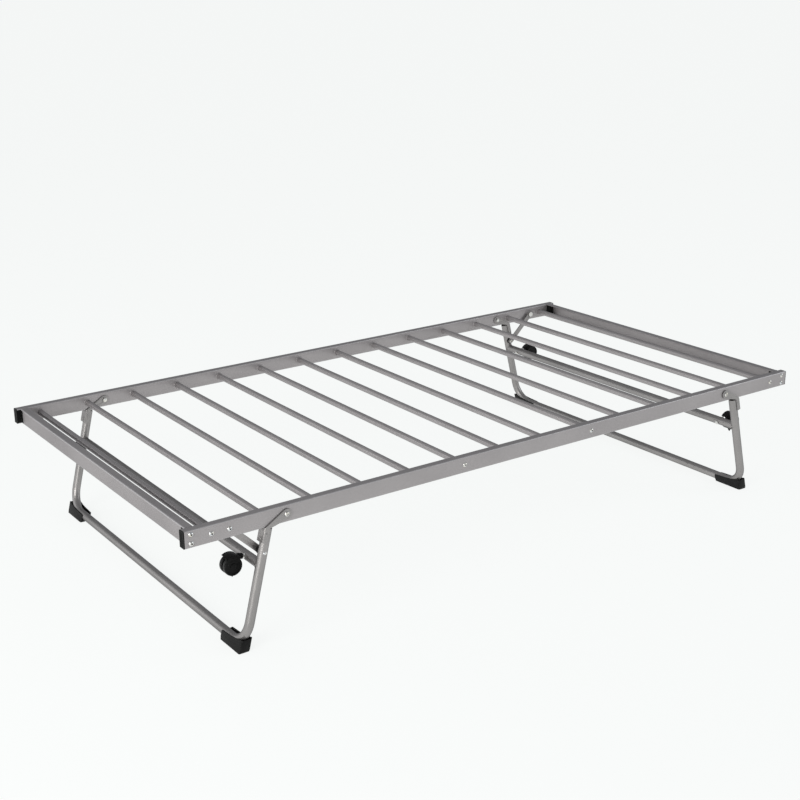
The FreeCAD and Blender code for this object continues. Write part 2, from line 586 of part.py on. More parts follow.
def rear_caster_hood():
    """Boss that turns on the stem, a fender with side cheeks over the wheels and a spine between them."""
    axle = axle_centre()
    y0 = CASTER_Y - HOOD_HALF_WIDTH
    y1 = CASTER_Y + HOOD_HALF_WIDTH
    fender = rod_y(HOOD_RADIUS, axle.x, axle.z, y0, y1)
    fender = fender.makeFillet(HOOD_EDGE, [e for e in fender.Edges if e.Length > 100])
    beneath = [Vector(axle.x - 40, y0 - 1, axle.z + CHEEK_EDGE + CHEEK_RISE),
               Vector(axle.x + 40, y0 - 1, axle.z + CHEEK_EDGE - CHEEK_RISE),
               Vector(axle.x + 40, y0 - 1, axle.z - 40), Vector(axle.x - 40, y0 - 1, axle.z - 40)]
    lower_part = Part.Face(Part.makePolygon(beneath + beneath[:1]))
    fender = fender.cut(lower_part.extrude(Vector(0, y1 - y0 + 2, 0)))
    boss = rod(BOSS_RADIUS, Vector(BOSS_START, CASTER_Y, CROSS_BAR_Z),
               Vector(BOSS_END, CASTER_Y, CROSS_BAR_Z))
    bridge = box(BOSS_END - 6, axle.x, CASTER_Y - BRIDGE_HALF, CASTER_Y + BRIDGE_HALF,
                 CROSS_BAR_Z - BRIDGE_HALF, CROSS_BAR_Z + BRIDGE_HALF)
    shell = fuse([fender, boss, bridge])
    shell = shell.cut(rod_y(WHEEL_RADIUS + HOOD_CLEARANCE, axle.x, axle.z, y0 + HOOD_CHEEK, y1 - HOOD_CHEEK))
    spine_y0 = CASTER_Y - SPINE_THICKNESS / 2
    spine_y1 = CASTER_Y + SPINE_THICKNESS / 2
    spine = rod_y(SPINE_RADIUS, axle.x, axle.z, spine_y0, spine_y1)
    web = box(BOSS_START + 6, axle.x + 20, spine_y0, spine_y1, axle.z, axle.z + HOOD_RADIUS)
    web = web.common(rod_y(HOOD_RADIUS - 1, axle.x, axle.z, y0, y1))
    corners = (TAIL_ROOTS[0], TAIL_TIP, TAIL_ROOTS[1], (0, 0), TAIL_ROOTS[0])
    outline = Part.makePolygon([Vector(axle.x + x, spine_y0, axle.z + z) for x, z in corners])
    tail = Part.Face(outline).extrude(Vector(0, SPINE_THICKNESS, 0))
    hood = fuse([shell, spine, web, tail])
    bore = rod(STEM_RADIUS + FIT_CLEARANCE, Vector(0, CASTER_Y, CROSS_BAR_Z),
               Vector(STEM_END + 0.5, CASTER_Y, CROSS_BAR_Z))
    return hood.cut([bore, rod_y(AXLE_RADIUS, axle.x, axle.z, y0 - 1, y1 + 1)])


def rear_caster_axle():
    axle = axle_centre()
    cap = WHEEL_GAP / 2 + WHEEL_THICKNESS + AXLE_CAP_STANDOFF
    half = cap + AXLE_CAP_THICKNESS
    pin = rod_y(AXLE_RADIUS, axle.x, axle.z, CASTER_Y - half, CASTER_Y + half)
    ends = [rod_y(AXLE_CAP_RADIUS, axle.x, axle.z, CASTER_Y + side * cap, CASTER_Y + side * half)
            for side in (-1, 1)]
    return fuse([pin] + ends)


def caster_wheel(side):
    axle = axle_centre()
    y0 = CASTER_Y + side * WHEEL_GAP / 2
    y1 = y0 + side * WHEEL_THICKNESS
    wheel = rod_y(WHEEL_RADIUS, axle.x, axle.z, y0, y1)
    rims = [e for e in wheel.Edges if e.Length > 100]
    wheel = wheel.makeFillet(WHEEL_EDGE, rims)
    dish = rod_y(WHEEL_RADIUS - WHEEL_RIM, axle.x, axle.z, y1 - side * 1.5, y1 + side)
    return wheel.cut([dish, rod_y(AXLE_RADIUS + FIT_CLEARANCE, axle.x, axle.z, y0 - side, y1 + side)])


def rear_caster_wheels():
    return group([caster_wheel(-1), caster_wheel(1)])


def right_leg_nodes():
    rivets = rear_rivets()
    both_rivets = rivets + [mirror_y(rivet) for rivet in rivets]
    nodes = {
        "leg_tube": splay(leg_tube()),
        "cross_bar": splay(cross_bar()),
        "bracket_rivets": group([splay(rivet) for rivet in both_rivets]),
        "stay_pin": splay(rear_stay_pin()),
        "stay_spacer": splay(rear_stay_spacer()),
        "caster_stems": group([splay(stem) for stem in front_and_rear(rear_caster_stem())]),
        "stay": rear_stay(),
    }
    paired = {
        "leg_bracket": splay(rear_bracket()),
        "shoe": rear_shoe(),
        "caster_hood": splay(rear_caster_hood()),
        "caster_axle": splay(rear_caster_axle()),
        "caster_wheels": splay(rear_caster_wheels()),
    }
    for name, shape in paired.items():
        nodes[name + "_rear"] = shape
        nodes[name + "_front"] = mirror_y(shape)
    return nodes


def side_name(name, side):
    for end in ("_rear", "_front"):
        if name.endswith(end):
            return name[:-len(end)] + "_" + side + end
    return name + "_" + side


def turned_name(name):
    """The name after a half turn, which swaps front and rear."""
    if name.endswith("_rear"):
        return name[:-len("rear")] + "front"
    if name.endswith("_front"):
        return name[:-len("front")] + "rear"
    return name


def all_nodes():
    nodes = deck_nodes()
    for name, shape in right_leg_nodes().items():
        nodes[side_name(name, "right")] = shape
        nodes[side_name(turned_name(name), "left")] = half_turn(shape)
    return nodes


def main():
    os.makedirs("parts", exist_ok=True)
    nodes = all_nodes()
    for name, shape in nodes.items():
        shape.exportStep("parts/" + name + ".step")
        bounds = shape.BoundBox
        print("%-26s solids %2d valid %s  x %.1f..%.1f  y %.1f..%.1f  z %.1f..%.1f" % (
            name, len(shape.Solids), shape.isValid(), bounds.XMin, bounds.XMax,
            bounds.YMin, bounds.YMax, bounds.ZMin, bounds.ZMax))
    print(len(nodes), "nodes")


main()
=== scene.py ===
# %% [markdown]
# # A metal trundle bed, from frame to finish
# A trundle bed is a low deck that folds its legs and rolls under another bed. Its sizes and its
# motion are settled already: they come with the frame, a set of plain solids grouped in bodies.
# Here each solid gets the shape and the surface of the real thing. We load the frame first,
# because every place and size that follows is read from it.

# %% Load the frame
import json
import math

import bmesh
import bpy
from mathutils import Matrix, Vector


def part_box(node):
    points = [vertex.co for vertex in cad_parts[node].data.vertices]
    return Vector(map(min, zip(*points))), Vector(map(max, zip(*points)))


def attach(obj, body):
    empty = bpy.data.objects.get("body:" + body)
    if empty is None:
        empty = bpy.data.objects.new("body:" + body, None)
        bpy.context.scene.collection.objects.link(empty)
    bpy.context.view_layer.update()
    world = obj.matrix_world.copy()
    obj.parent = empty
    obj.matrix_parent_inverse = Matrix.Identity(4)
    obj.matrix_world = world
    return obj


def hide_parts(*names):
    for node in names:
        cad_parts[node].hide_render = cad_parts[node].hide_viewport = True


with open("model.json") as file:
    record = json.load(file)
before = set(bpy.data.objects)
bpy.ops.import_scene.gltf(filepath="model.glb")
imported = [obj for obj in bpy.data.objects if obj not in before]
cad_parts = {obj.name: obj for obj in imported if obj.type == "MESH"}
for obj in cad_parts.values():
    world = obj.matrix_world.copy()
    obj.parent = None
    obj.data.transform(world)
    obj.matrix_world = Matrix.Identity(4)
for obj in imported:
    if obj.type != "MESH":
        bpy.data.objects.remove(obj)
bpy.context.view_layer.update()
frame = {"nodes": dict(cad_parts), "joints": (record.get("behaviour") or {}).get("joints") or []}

SIDES = ("left", "right")
ENDS = ("front", "rear")
STAY_CORNERS = (("right", "rear"), ("left", "front"))

# %% [markdown]
# ## Where things are
# The deck is drawn straight in the bed's own axes: X along it, Y across it, Z up. The legs lean
# outwards, so drawing them in place would mean slanted numbers everywhere. It is easier to draw
# one leg upright, with its pivot as the origin, and to lean it with a single matrix afterwards.
# The lean is the slope of the caster's swivel axis, which is square to the leg. A mirror matrix
# then gives the other three corners.

# %% Read the deck and the lean of the legs
joints = {joint["name"]: joint for joint in frame["joints"]}

rail_low, rail_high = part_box("side_rail_rear")
RAIL_WIDTH = rail_high.y - rail_low.y
RAIL_HEIGHT = rail_high.z - rail_low.z
RAIL_Y = (rail_low.y + rail_high.y) / 2
DECK_Z = (rail_low.z + rail_high.z) / 2

pivot = Vector(joints["right_leg_fold"]["pos_m"])
outboard = Vector(joints["right_rear_caster_swivel"]["axis"])
up_the_leg = Vector((-outboard.z, 0, outboard.x))
SPLAY = math.atan2(outboard.z, outboard.x)
LEAN = Matrix.Translation(pivot) @ Matrix.Rotation(-SPLAY, 4, "Y")
print("rail %.0f x %.0f mm, legs lean %.1f degrees" % (
    1000 * RAIL_WIDTH, 1000 * RAIL_HEIGHT, math.degrees(SPLAY)))


def flip(side, end):
    """The matrix that takes the right rear corner to this one."""
    return Matrix.Diagonal((-1 if side == "left" else 1, -1 if end == "front" else 1, 1, 1))


def upright(joint_name):
    """A joint's place in the upright drawing of the leg."""
    place = Vector(joints[joint_name]["pos_m"]) - pivot
    return Vector((place.dot(outboard), place.y, place.dot(up_the_leg)))


stay_pivot = upright("right_stay_turn")
axle = upright("right_rear_wheel_spin")
swivel = upright("right_rear_caster_swivel")
bar_low, bar_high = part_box("cross_bar_right")
TUBE_RADIUS = (bar_high.z - bar_low.z) / 2
LEG_X = stay_pivot.x
CROSS_BAR_Z = swivel.z
CASTER_Y = swivel.y
print("leg tube radius %.1f mm, %.0f mm outboard of the pivot" % (1000 * TUBE_RADIUS, 1000 * LEG_X))

# %% [markdown]
# ## The nodes of a finish
# Each finish is a small graph of nodes. Two helpers keep the graphs short: one adds a node and
# fills or links its inputs, the other makes a colour ramp. All patterns use Object coordinates,
# in metres, so a scale of 1000 means a detail about a millimetre wide.

# %% Two helpers for node graphs
def add(tree, kind, inputs=None, **settings):
    """Add one node. An input given as a socket is linked, and any other is set."""
    made = tree.nodes.new("ShaderNode" + kind)
    for setting, value in settings.items():
        setattr(made, setting, value)
    for name, value in (inputs or {}).items():
        if isinstance(value, bpy.types.NodeSocket):
            tree.links.new(value, made.inputs[name])
        else:
            made.inputs[name].default_value = value
    return made


def ramp(tree, factor, stops):
    """A colour ramp through (position, grey or colour) stops."""
    made = add(tree, "ValToRGB", {"Fac": factor})
    elements = made.color_ramp.elements
    while len(elements) < len(stops):
        elements.new(0.5)
    for element, (position, colour) in zip(elements, stops):
        element.position = position
        shade = (colour, colour, colour) if isinstance(colour, float) else colour
        element.color = (*shade, 1)
    return made.outputs["Color"]


def start_finish(name, metallic):
    """An empty finish: its material, its node tree, its shader and its pattern coordinates."""
    finish = bpy.data.materials.new(name)
    finish.use_nodes = True
    tree = finish.node_tree
    shader = tree.nodes["Principled BSDF"]
    shader.inputs["Metallic"].default_value = metallic
    place = add(tree, "TexCoord").outputs["Object"]
    return finish, tree, shader, place


def spread(tree, factor, low, high):
    """A number that varies from low to high as a pattern goes from 0 to 1."""
    made = add(tree, "MapRange", {"Value": factor, "To Min": low, "To Max": high})
    return made.outputs["Result"]


def bump(tree, shader, height, strength, distance):
    made = add(tree, "Bump", {"Height": height, "Strength": strength, "Distance": distance})
    tree.links.new(made.outputs["Normal"], shader.inputs["Normal"])


# %% [markdown]
# ## Silver paint
# The tubes and rails are sprayed with an aluminium paint. Close up it isn't one grey: flakes of
# metal catch the light, the coat is thicker in some places than in others, the surface has a
# faint orange peel, and the rounded corners are lighter, partly as rubbed paint and partly as a
# painted highlight along every bevel. Each of these is one small pattern. The corners can't be
# found by a texture, so the bevels that we cut later carry an attribute named
# edge_wear_and_highlight, which this graph reads.

# %% Mix the silver paint
def silver_paint(name, dark, light, roughness, metallic):
    finish, tree, shader, place = start_finish(name, metallic)
    shader.inputs["Specular Tint"].default_value = (0.30, 0.30, 0.32, 1)
    cloud = add(tree, "TexNoise", {"Vector": place, "Scale": 6.0, "Detail": 5.0})
    coat = ramp(tree, cloud.outputs["Fac"], [(0.3, dark), (0.7, light)])
    flakes = add(tree, "TexVoronoi", {"Vector": place, "Scale": 1500.0})
    glint = ramp(tree, flakes.outputs["Color"], [(0.2, 0.78), (0.8, 1.0)])
    flaked = add(tree, "MixRGB", {"Fac": 0.8, "Color1": coat, "Color2": glint},
                 blend_type="MULTIPLY")
    # Every bevel face is lightened towards a pale grey, only a little patchy: partly rubbed paint,
    # partly a painted highlight along the rounded edges.
    wear_and_highlight = add(tree, "Attribute", attribute_name="edge_wear_and_highlight").outputs["Fac"]
    patches = add(tree, "TexNoise", {"Vector": place, "Scale": 45.0, "Detail": 6.0})
    patchy_strength = ramp(tree, patches.outputs["Fac"], [(0.35, 0.45), (0.65, 0.75)])
    bare_and_highlit = add(tree, "Math", {0: wear_and_highlight, 1: patchy_strength}, operation="MULTIPLY").outputs["Value"]
    colour = add(tree, "MixRGB", {"Fac": bare_and_highlit, "Color1": flaked.outputs["Color"],
                                  "Color2": (0.50, 0.49, 0.50, 1)})
    tree.links.new(colour.outputs["Color"], shader.inputs["Base Color"])
    streaks = add(tree, "TexNoise", {"Vector": place, "Scale": 24.0, "Detail": 8.0})
    worn = spread(tree, streaks.outputs["Fac"], roughness - 0.05, roughness + 0.06)
    tree.links.new(worn, shader.inputs["Roughness"])
    peel = add(tree, "TexNoise", {"Vector": place, "Scale": 400.0, "Detail": 2.0})
    bump(tree, shader, peel.outputs["Fac"], 0.05, 0.0002)
    return finish


deck_silver = silver_paint("deck_silver_paint", (0.38, 0.36, 0.363), (0.44, 0.418, 0.42), 0.38, 0.6)
leg_silver = silver_paint("leg_silver_paint", (0.31, 0.30, 0.295), (0.39, 0.375, 0.37), 0.36, 0.8)
print("silver finishes:", deck_silver.name, leg_silver.name)

# %% [markdown]
# ## Zinc plate
# Bolts, rivets, nuts and stems are zinc plated steel. The plate is bright, with a faint blue and
# straw tint that drifts across it, fine turning marks, and tiny crystals that break the gloss.

# %% Plate the fastenings
def zinc_plate(name):
    finish, tree, shader, place = start_finish(name, metallic=1.0)
    drift = add(tree, "TexNoise", {"Vector": place, "Scale": 220.0, "Detail": 3.0})
    tint = ramp(tree, drift.outputs["Fac"], [
        (0.3, (0.62, 0.66, 0.70)), (0.5, (0.72, 0.71, 0.69)), (0.7, (0.70, 0.66, 0.56))])
    tree.links.new(tint, shader.inputs["Base Color"])
    crystals = add(tree, "TexVoronoi", {"Vector": place, "Scale": 2600.0})
    gloss = spread(tree, crystals.outputs["Distance"], 0.2, 0.36)
    tree.links.new(gloss, shader.inputs["Roughness"])
    bump(tree, shader, crystals.outputs["Distance"], 0.15, 0.0001)
    return finish


zinc = zinc_plate("zinc_plate")
print("fastening finish:", zinc.name)

# %% [markdown]
# ## Black plastics
# The end caps, shoes and caster hoods are moulded in a matt black plastic with a spark-eroded
# grain. The wheels are a harder, glossier black whose treads have gone grey from rolling. Both
# are the same graph with other numbers: a grain for the bump, and a scuffed tone where the
# edge_wear_and_highlight attribute and a patchy noise agree.

# %% Mould the two black plastics
def black_plastic(name, roughness, grain_scale, grain_strength, scuff):
    finish, tree, shader, place = start_finish(name, metallic=0.0)
    shader.inputs["Specular IOR Level"].default_value = 0.12
    cloud = add(tree, "TexNoise", {"Vector": place, "Scale": 90.0, "Detail": 4.0})
    black = ramp(tree, cloud.outputs["Fac"], [(0.3, 0.004), (0.7, 0.008)])
    wear_and_highlight = add(tree, "Attribute", attribute_name="edge_wear_and_highlight").outputs["Fac"]
    patches = add(tree, "TexNoise", {"Vector": place, "Scale": 260.0, "Detail": 6.0})
    scuffed = ramp(tree, patches.outputs["Fac"], [(0.45, 0.0), (0.7, 0.8)])
    patchy_strength = add(tree, "Math", {0: wear_and_highlight, 1: scuffed}, operation="MULTIPLY").outputs["Value"]
    colour = add(tree, "MixRGB", {"Fac": patchy_strength, "Color1": black, "Color2": (scuff, scuff, scuff, 1)})
    tree.links.new(colour.outputs["Color"], shader.inputs["Base Color"])
    dull = spread(tree, patches.outputs["Fac"], roughness - 0.07, roughness + 0.12)
    tree.links.new(dull, shader.inputs["Roughness"])
    grain = add(tree, "TexVoronoi", {"Vector": place, "Scale": grain_scale}, feature="SMOOTH_F1")
    bump(tree, shader, grain.outputs["Distance"], grain_strength, 0.0002)
    return finish


moulding = black_plastic("matt_black_moulding", 0.46, 1300.0, 0.35, 0.03)
tyre = black_plastic("glossy_wheel_black", 0.30, 500.0, 0.06, 0.04)
print("plastics:", moulding.name, tyre.name)

# %% [markdown]
# ## From a bmesh to a finished piece
# A bmesh is a mesh that Blender's modelling operators can cut, pull and spin. Every piece below
# is drawn as one, and ends in the same way: doubles merged, normals turned outwards, smooth
# shading broken only at real corners, a finish, and a body of the frame to move with. Rounded
# corners are cut with the bevel operator, and the new faces are marked for wear and for a
# painted highlight.

# %% Helpers that finish a piece
CORNER = math.radians(35)
made_pieces = []


def finish_piece(name, bm, finish, body, slot, *stands_for):
    """Turn the bmesh into a piece that rides on the body in place of the frame's solids."""
    bmesh.ops.remove_doubles(bm, verts=bm.verts, dist=1e-6)
    bmesh.ops.recalc_face_normals(bm, faces=bm.faces)
    mesh = bpy.data.meshes.new(name)
    bm.to_mesh(mesh)
    bm.free()
    mesh.shade_smooth()
    mesh.set_sharp_from_angle(angle=CORNER)
    mesh.materials.append(finish)
    piece = bpy.data.objects.new(name, mesh)
    bpy.context.scene.collection.objects.link(piece)
    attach(piece, body)
    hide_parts(*stands_for)
    made_pieces.append(piece)
    return piece


def wear_and_highlight_layer(bm):
    return bm.faces.layers.float.get("edge_wear_and_highlight") or bm.faces.layers.float.new("edge_wear_and_highlight")


def round_edges(bm, edges, radius, segments):
    """Bevel these edges, and mark the new faces where the finish wears and where a painted highlight
    lightens it.
    """
    wear_and_highlight = wear_and_highlight_layer(bm)
    cut = bmesh.ops.bevel(bm, geom=list(edges), offset=radius, segments=segments, profile=0.5,
                          affect="EDGES", material=-1, clamp_overlap=True)
    for face in cut["faces"]:
        face[wear_and_highlight] = 1.0


def sharp_edges(bm, least_degrees=40):
    """The edges where two faces meet at a real corner."""
    least = math.radians(least_degrees)
    return [e for e in bm.edges if len(e.link_faces) == 2 and e.calc_face_angle() > least]


def middle(edge):
    return (edge.verts[0].co + edge.verts[1].co) / 2


def lies_along(edge, axis):
    """True if the edge runs along X, Y or Z, given as 0, 1 or 2."""
    way = edge.verts[1].co - edge.verts[0].co
    return abs(way[axis]) > 0.99 * way.length


def block(bm, low, high):
    """A box between two corners. It is only ever the start of a shape."""
    low, high = Vector(low), Vector(high)
    size = Matrix.Diagonal((*(high - low), 1))
    place = Matrix.Translation((low + high) / 2)
    bmesh.ops.create_cube(bm, size=1, matrix=place @ size)


def merge_in(bm, other, matrix=Matrix()):
    """Add a finished drawing to another one, moved by the matrix."""
    mesh = bpy.data.meshes.new("spare")
    other.to_mesh(mesh)
    mesh.transform(matrix)
    bm.from_mesh(mesh)
    bpy.data.meshes.remove(mesh)


# %% [markdown]
# ## Side rails
# Each side rail is a rectangular tube, 20 by 40 mm. A box with its two small ends taken off and
# its long edges rounded is the outside of that tube; the solidify operator then gives it a wall.
# We round before we thicken, so that the inside corners follow the outside ones.

# %% Draw the side rails
RAIL_WALL = 0.0015
RAIL_CORNER = 0.002


def draw_side_rail(low, high):
    bm = bmesh.new()
    block(bm, low, high)
    ends = [f for f in bm.faces if abs(f.normal.x) > 0.9]
    bmesh.ops.delete(bm, geom=ends, context="FACES_ONLY")
    round_edges(bm, [e for e in bm.edges if lies_along(e, 0)], RAIL_CORNER, 5)
    bmesh.ops.solidify(bm, geom=bm.faces[:], thickness=RAIL_WALL)
    return bm


for end in ENDS:
    node = "side_rail_" + end
    rail = finish_piece("box_tube_rail_" + end, draw_side_rail(*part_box(node)), deck_silver, "deck",
                        "silver_paint", node)
    print(rail.name, len(rail.data.polygons), "faces")

# %% [markdown]
# ## End rails
# The end rails are channels: a sheet folded twice, open towards the middle of the bed. Four
# points give the folded line, one extrusion along Y makes the sheet, the bevel turns the two
# folds into bends, and solidify gives the sheet its 2 mm. At each end the back of the channel is
# notched, so that the black block inside shows: two slices bound the notch, and the faces between
# them and the end are deleted while the sheet is still thin.

# %% Draw the end rails
SHEET = 0.002
FOLD_RADIUS = 0.003
NOTCH = 0.014


def draw_end_rail(low, high):
    """The right end rail: its back is at high.x."""
    bm = bmesh.new()
    corners = [(low.x, low.z), (high.x, low.z), (high.x, high.z), (low.x, high.z)]
    points = [bm.verts.new((x, low.y, z)) for x, z in corners]
    line = [bm.edges.new(pair) for pair in zip(points, points[1:])]
    pulled = bmesh.ops.extrude_edge_only(bm, edges=line)["geom"]
    moved = [g for g in pulled if isinstance(g, bmesh.types.BMVert)]
    bmesh.ops.translate(bm, verts=moved, vec=(0, high.y - low.y, 0))
    bmesh.ops.recalc_face_normals(bm, faces=bm.faces)
    if sum(f.normal.x for f in bm.faces) < 0:
        bmesh.ops.reverse_faces(bm, faces=bm.faces)
    folds = [e for e in bm.edges if len(e.link_faces) == 2 and lies_along(e, 1)]
    round_edges(bm, folds, FOLD_RADIUS, 6)
    for cut in (low.y + NOTCH, high.y - NOTCH):
        everything = bm.verts[:] + bm.edges[:] + bm.faces[:]
        bmesh.ops.bisect_plane(bm, geom=everything, plane_co=(0, cut, 0), plane_no=(0, 1, 0))
    bm.normal_update()
    notched = [f for f in bm.faces
               if f.normal.x > 0.99 and abs(f.calc_center_median().y) > high.y - NOTCH]
    bmesh.ops.delete(bm, geom=notched, context="FACES")
    bmesh.ops.solidify(bm, geom=bm.faces[:], thickness=SHEET)
    return bm


for side in SIDES:
    bm = draw_end_rail(*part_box("end_rail_right"))
    bmesh.ops.transform(bm, matrix=flip(side, "rear"), verts=bm.verts)
    rail = finish_piece("channel_rail_" + side, bm, deck_silver, "deck", "silver_paint",
                        "end_rail_" + side)
    print(rail.name, len(rail.data.polygons), "faces")

# %% [markdown]
# ## Rail end caps
# A black cap closes each end of a side rail. Its face has upright ribs, moulded so that a thumb
# can push it home. We slice the face into strips with bisect_plane and sink every second one. A
# thin black sheet, 0.6 mm thick, lies on the rail's inner side from the cap back to the end
# rail, so that this stretch of the rail shows dark.

# %% Draw the ribbed caps
CAP_WALL = 0.0025
RIB_COUNT = 4
RIB_DEPTH = 0.0009
RIB_MARGIN = 0.0028
CAP_DARK_SHEET_LENGTH = rail_high.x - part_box("end_rail_right")[1].x + CAP_WALL
CAP_DARK_SHEET_THICKNESS = 0.0006


def draw_cap(low, high):
    """The cap at the right end of the rear rail, with a short plug that grips the tube."""
    bm = bmesh.new()
    block(bm, (high.x - CAP_WALL, low.y, low.z), high)
    round_edges(bm, [e for e in bm.edges if lies_along(e, 0)], RAIL_CORNER, 4)
    round_edges(bm, [e for e in sharp_edges(bm) if middle(e).x > high.x - 1e-4], 0.0006, 2)
    pitch = (high.y - low.y - 2 * RIB_MARGIN) / (2 * RIB_COUNT - 1)
    for cut in range(2 * RIB_COUNT):
        everything = bm.verts[:] + bm.edges[:] + bm.faces[:]
        bmesh.ops.bisect_plane(bm, geom=everything, plane_co=(0, low.y + RIB_MARGIN + cut * pitch, 0),
                               plane_no=(0, 1, 0))
    for level in (low.z + RIB_MARGIN, high.z - RIB_MARGIN):
        everything = bm.verts[:] + bm.edges[:] + bm.faces[:]
        bmesh.ops.bisect_plane(bm, geom=everything, plane_co=(0, 0, level), plane_no=(0, 0, 1))
    grooves = []
    for face in bm.faces:
        centre = face.calc_center_median()
        strip = (centre.y - low.y - RIB_MARGIN) / pitch
        if face.normal.x > 0.99 and 0 < strip < 2 * RIB_COUNT - 1 and int(strip) % 2 == 1:
            if low.z + RIB_MARGIN < centre.z < high.z - RIB_MARGIN:
                grooves.append(face)
    for groove in bmesh.ops.extrude_discrete_faces(bm, faces=grooves)["faces"]:
        bmesh.ops.translate(bm, verts=groove.verts[:], vec=(-RIB_DEPTH, 0, 0))
    plug = RAIL_WALL + 0.0001
    block(bm, (high.x - 4 * CAP_WALL, low.y + plug, low.z + plug),
          (high.x - CAP_WALL, high.y - plug, high.z - plug))
    # A black sheet 0.6 mm thick over the rail's inner side, from the cap to the end rail, makes that
    # stretch dark.
    block(bm, (high.x - CAP_DARK_SHEET_LENGTH, low.y - CAP_DARK_SHEET_THICKNESS, low.z + RAIL_CORNER),
          (high.x - CAP_WALL / 2, low.y + 0.0001, high.z - RAIL_CORNER))
    return bm


cap_low, cap_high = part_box("rail_end_caps")
bm = bmesh.new()
for side in SIDES:
    for end in ENDS:
        cap = draw_cap(Vector((0, rail_low.y, rail_low.z)),
                       Vector((cap_high.x, rail_high.y, rail_high.z)))
        merge_in(bm, cap, flip(side, end))
caps = finish_piece("ribbed_end_caps", bm, moulding, "deck", "black_plastic", "rail_end_caps")
print(caps.name, len(caps.data.polygons), "faces")

# %% [markdown]
# ## Slats
# Fourteen round tubes cross the deck. The side of a circle pulled along Y is a tube, and solidify
# gives its wall. Forty sides keep the long highlight smooth.

# %% Draw the slats
SLAT_SIDES = 40
SLAT_WALL = 0.0012
slat_names = sorted(name for name in frame["nodes"] if name.startswith("slat_") and name[5:].isdigit())


def pull(bm, edges, way):
    """Extrude open edges along a straight line, and return the new ones."""
    pulled = bmesh.ops.extrude_edge_only(bm, edges=edges)["geom"]
    moved = {g for g in pulled if isinstance(g, bmesh.types.BMVert)}
    bmesh.ops.translate(bm, verts=list(moved), vec=way)
    return [g for g in pulled if isinstance(g, bmesh.types.BMEdge) and set(g.verts) <= moved]


def ring(bm, radius, sides, matrix):
    """The edges of a circle. The matrix takes it from the plane z = 0 to its place."""
    corners = bmesh.ops.create_circle(bm, segments=sides, radius=radius, matrix=matrix)["verts"]
    return list({e for v in corners for e in v.link_edges})


ALONG_Y = Matrix.Rotation(math.radians(-90), 4, "X")
ALONG_X = Matrix.Rotation(math.radians(90), 4, "Y")


def give_wall(bm, wall):
    """Turn an open shell's faces outwards, then thicken it inwards."""
    bmesh.ops.recalc_face_normals(bm, faces=bm.faces)
    bmesh.ops.solidify(bm, geom=bm.faces[:], thickness=wall)


def draw_slat(low, high):
    bm = bmesh.new()
    start = Vector(((low.x + high.x) / 2, low.y, (low.z + high.z) / 2))
    edges = ring(bm, (high.z - low.z) / 2, SLAT_SIDES, Matrix.Translation(start) @ ALONG_Y)
    pull(bm, edges, (0, high.y - low.y, 0))
    give_wall(bm, SLAT_WALL)
    return bm


slat_x = {}
for name in slat_names:
    low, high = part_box(name)
    slat_x[name] = (low.x + high.x) / 2
    finish_piece(name.replace("slat", "slat_tube"), draw_slat(low, high), deck_silver, "deck",
                 "silver_paint", name)
print(len(slat_names), "slats,", round(1000 * (slat_x["slat_02"] - slat_x["slat_01"])), "mm apart")

# %% [markdown]
# ## Slat collars
# Where a slat enters a rail, a pressed collar lines the hole. It has a rolled lip. A round part
# like this is a profile spun round an axis: we draw half of its section as a line of points,
# and the spin operator sweeps it through a full turn.

# %% Draw the collars
def spin_profile(bm, profile, steps):
    """Sweep (radius, height) points round the Z axis into a closed shell."""
    points = [bm.verts.new((radius, 0, height)) for radius, height in profile]
    line = [bm.edges.new(pair) for pair in zip(points, points[1:])]
    if profile[0] == profile[-1]:
        bmesh.ops.remove_doubles(bm, verts=points, dist=1e-7)
    alive = [part for part in points + line if part.is_valid]
    bmesh.ops.spin(bm, geom=alive, cent=(0, 0, 0), axis=(0, 0, 1), angle=2 * math.pi,
                   steps=steps, use_merge=True)
    bmesh.ops.remove_doubles(bm, verts=bm.verts, dist=1e-7)


COLLAR_LIP = 0.0015
collar_low, collar_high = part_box("slat_collars")
COLLAR_RADIUS = (collar_high.z - collar_low.z) / 2
COLLAR_BORE = TUBE_RADIUS - 0.003


def draw_collar():
    """A collar on the plane z = 0, with its lip on the +Z side."""
    bm = bmesh.new()
    r, lip = COLLAR_RADIUS, COLLAR_LIP
    profile = [(COLLAR_BORE, -0.003), (COLLAR_BORE, lip - 0.0005), (COLLAR_BORE + 0.0004, lip),
               (r - 0.0008, lip), (r - 0.0002, lip - 0.0004), (r, lip - 0.0009), (r, 0),
               (r - 0.0015, 0), (r - 0.0015, -0.003), (COLLAR_BORE, -0.003)]
    spin_profile(bm, profile, 32)
    return bm


FACE_FRONT = Matrix.Rotation(math.radians(90), 4, "X")
bm = bmesh.new()
for x in slat_x.values():
    for end in ENDS:
        place = Matrix.Translation((x, rail_low.y, DECK_Z)) @ FACE_FRONT
        merge_in(bm, draw_collar(), flip("right", end) @ place)
collars = finish_piece("pressed_slat_collars", bm, deck_silver, "deck", "silver_paint", "slat_collars")
print(collars.name, len(collars.data.polygons), "faces")

# %% [markdown]
# ## Domed bolt heads
# The heads are shallow domes with a hexagon socket. The dome is an arc spun round the bolt's
# axis and stopped short of the middle. A hexagon of six points is laid inside it, bridge_loops
# joins the two rings whatever their counts, and the hexagon is pulled down to make the socket.

# %% Draw a bolt head
def dome_profile(radius, height, inner, steps):
    """Points of an arc from the rim of a dome to a smaller ring near its top."""
    ball = (radius ** 2 + height ** 2) / (2 * height)
    rim = math.asin(radius / ball)
    stop = math.asin(inner / ball)
    angles = [rim + (stop - rim) * step / steps for step in range(steps + 1)]
    return [(ball * math.sin(a), ball * math.cos(a) - ball + height) for a in angles]


def close_ring(bm, edges):
    bmesh.ops.contextual_create(bm, geom=edges)


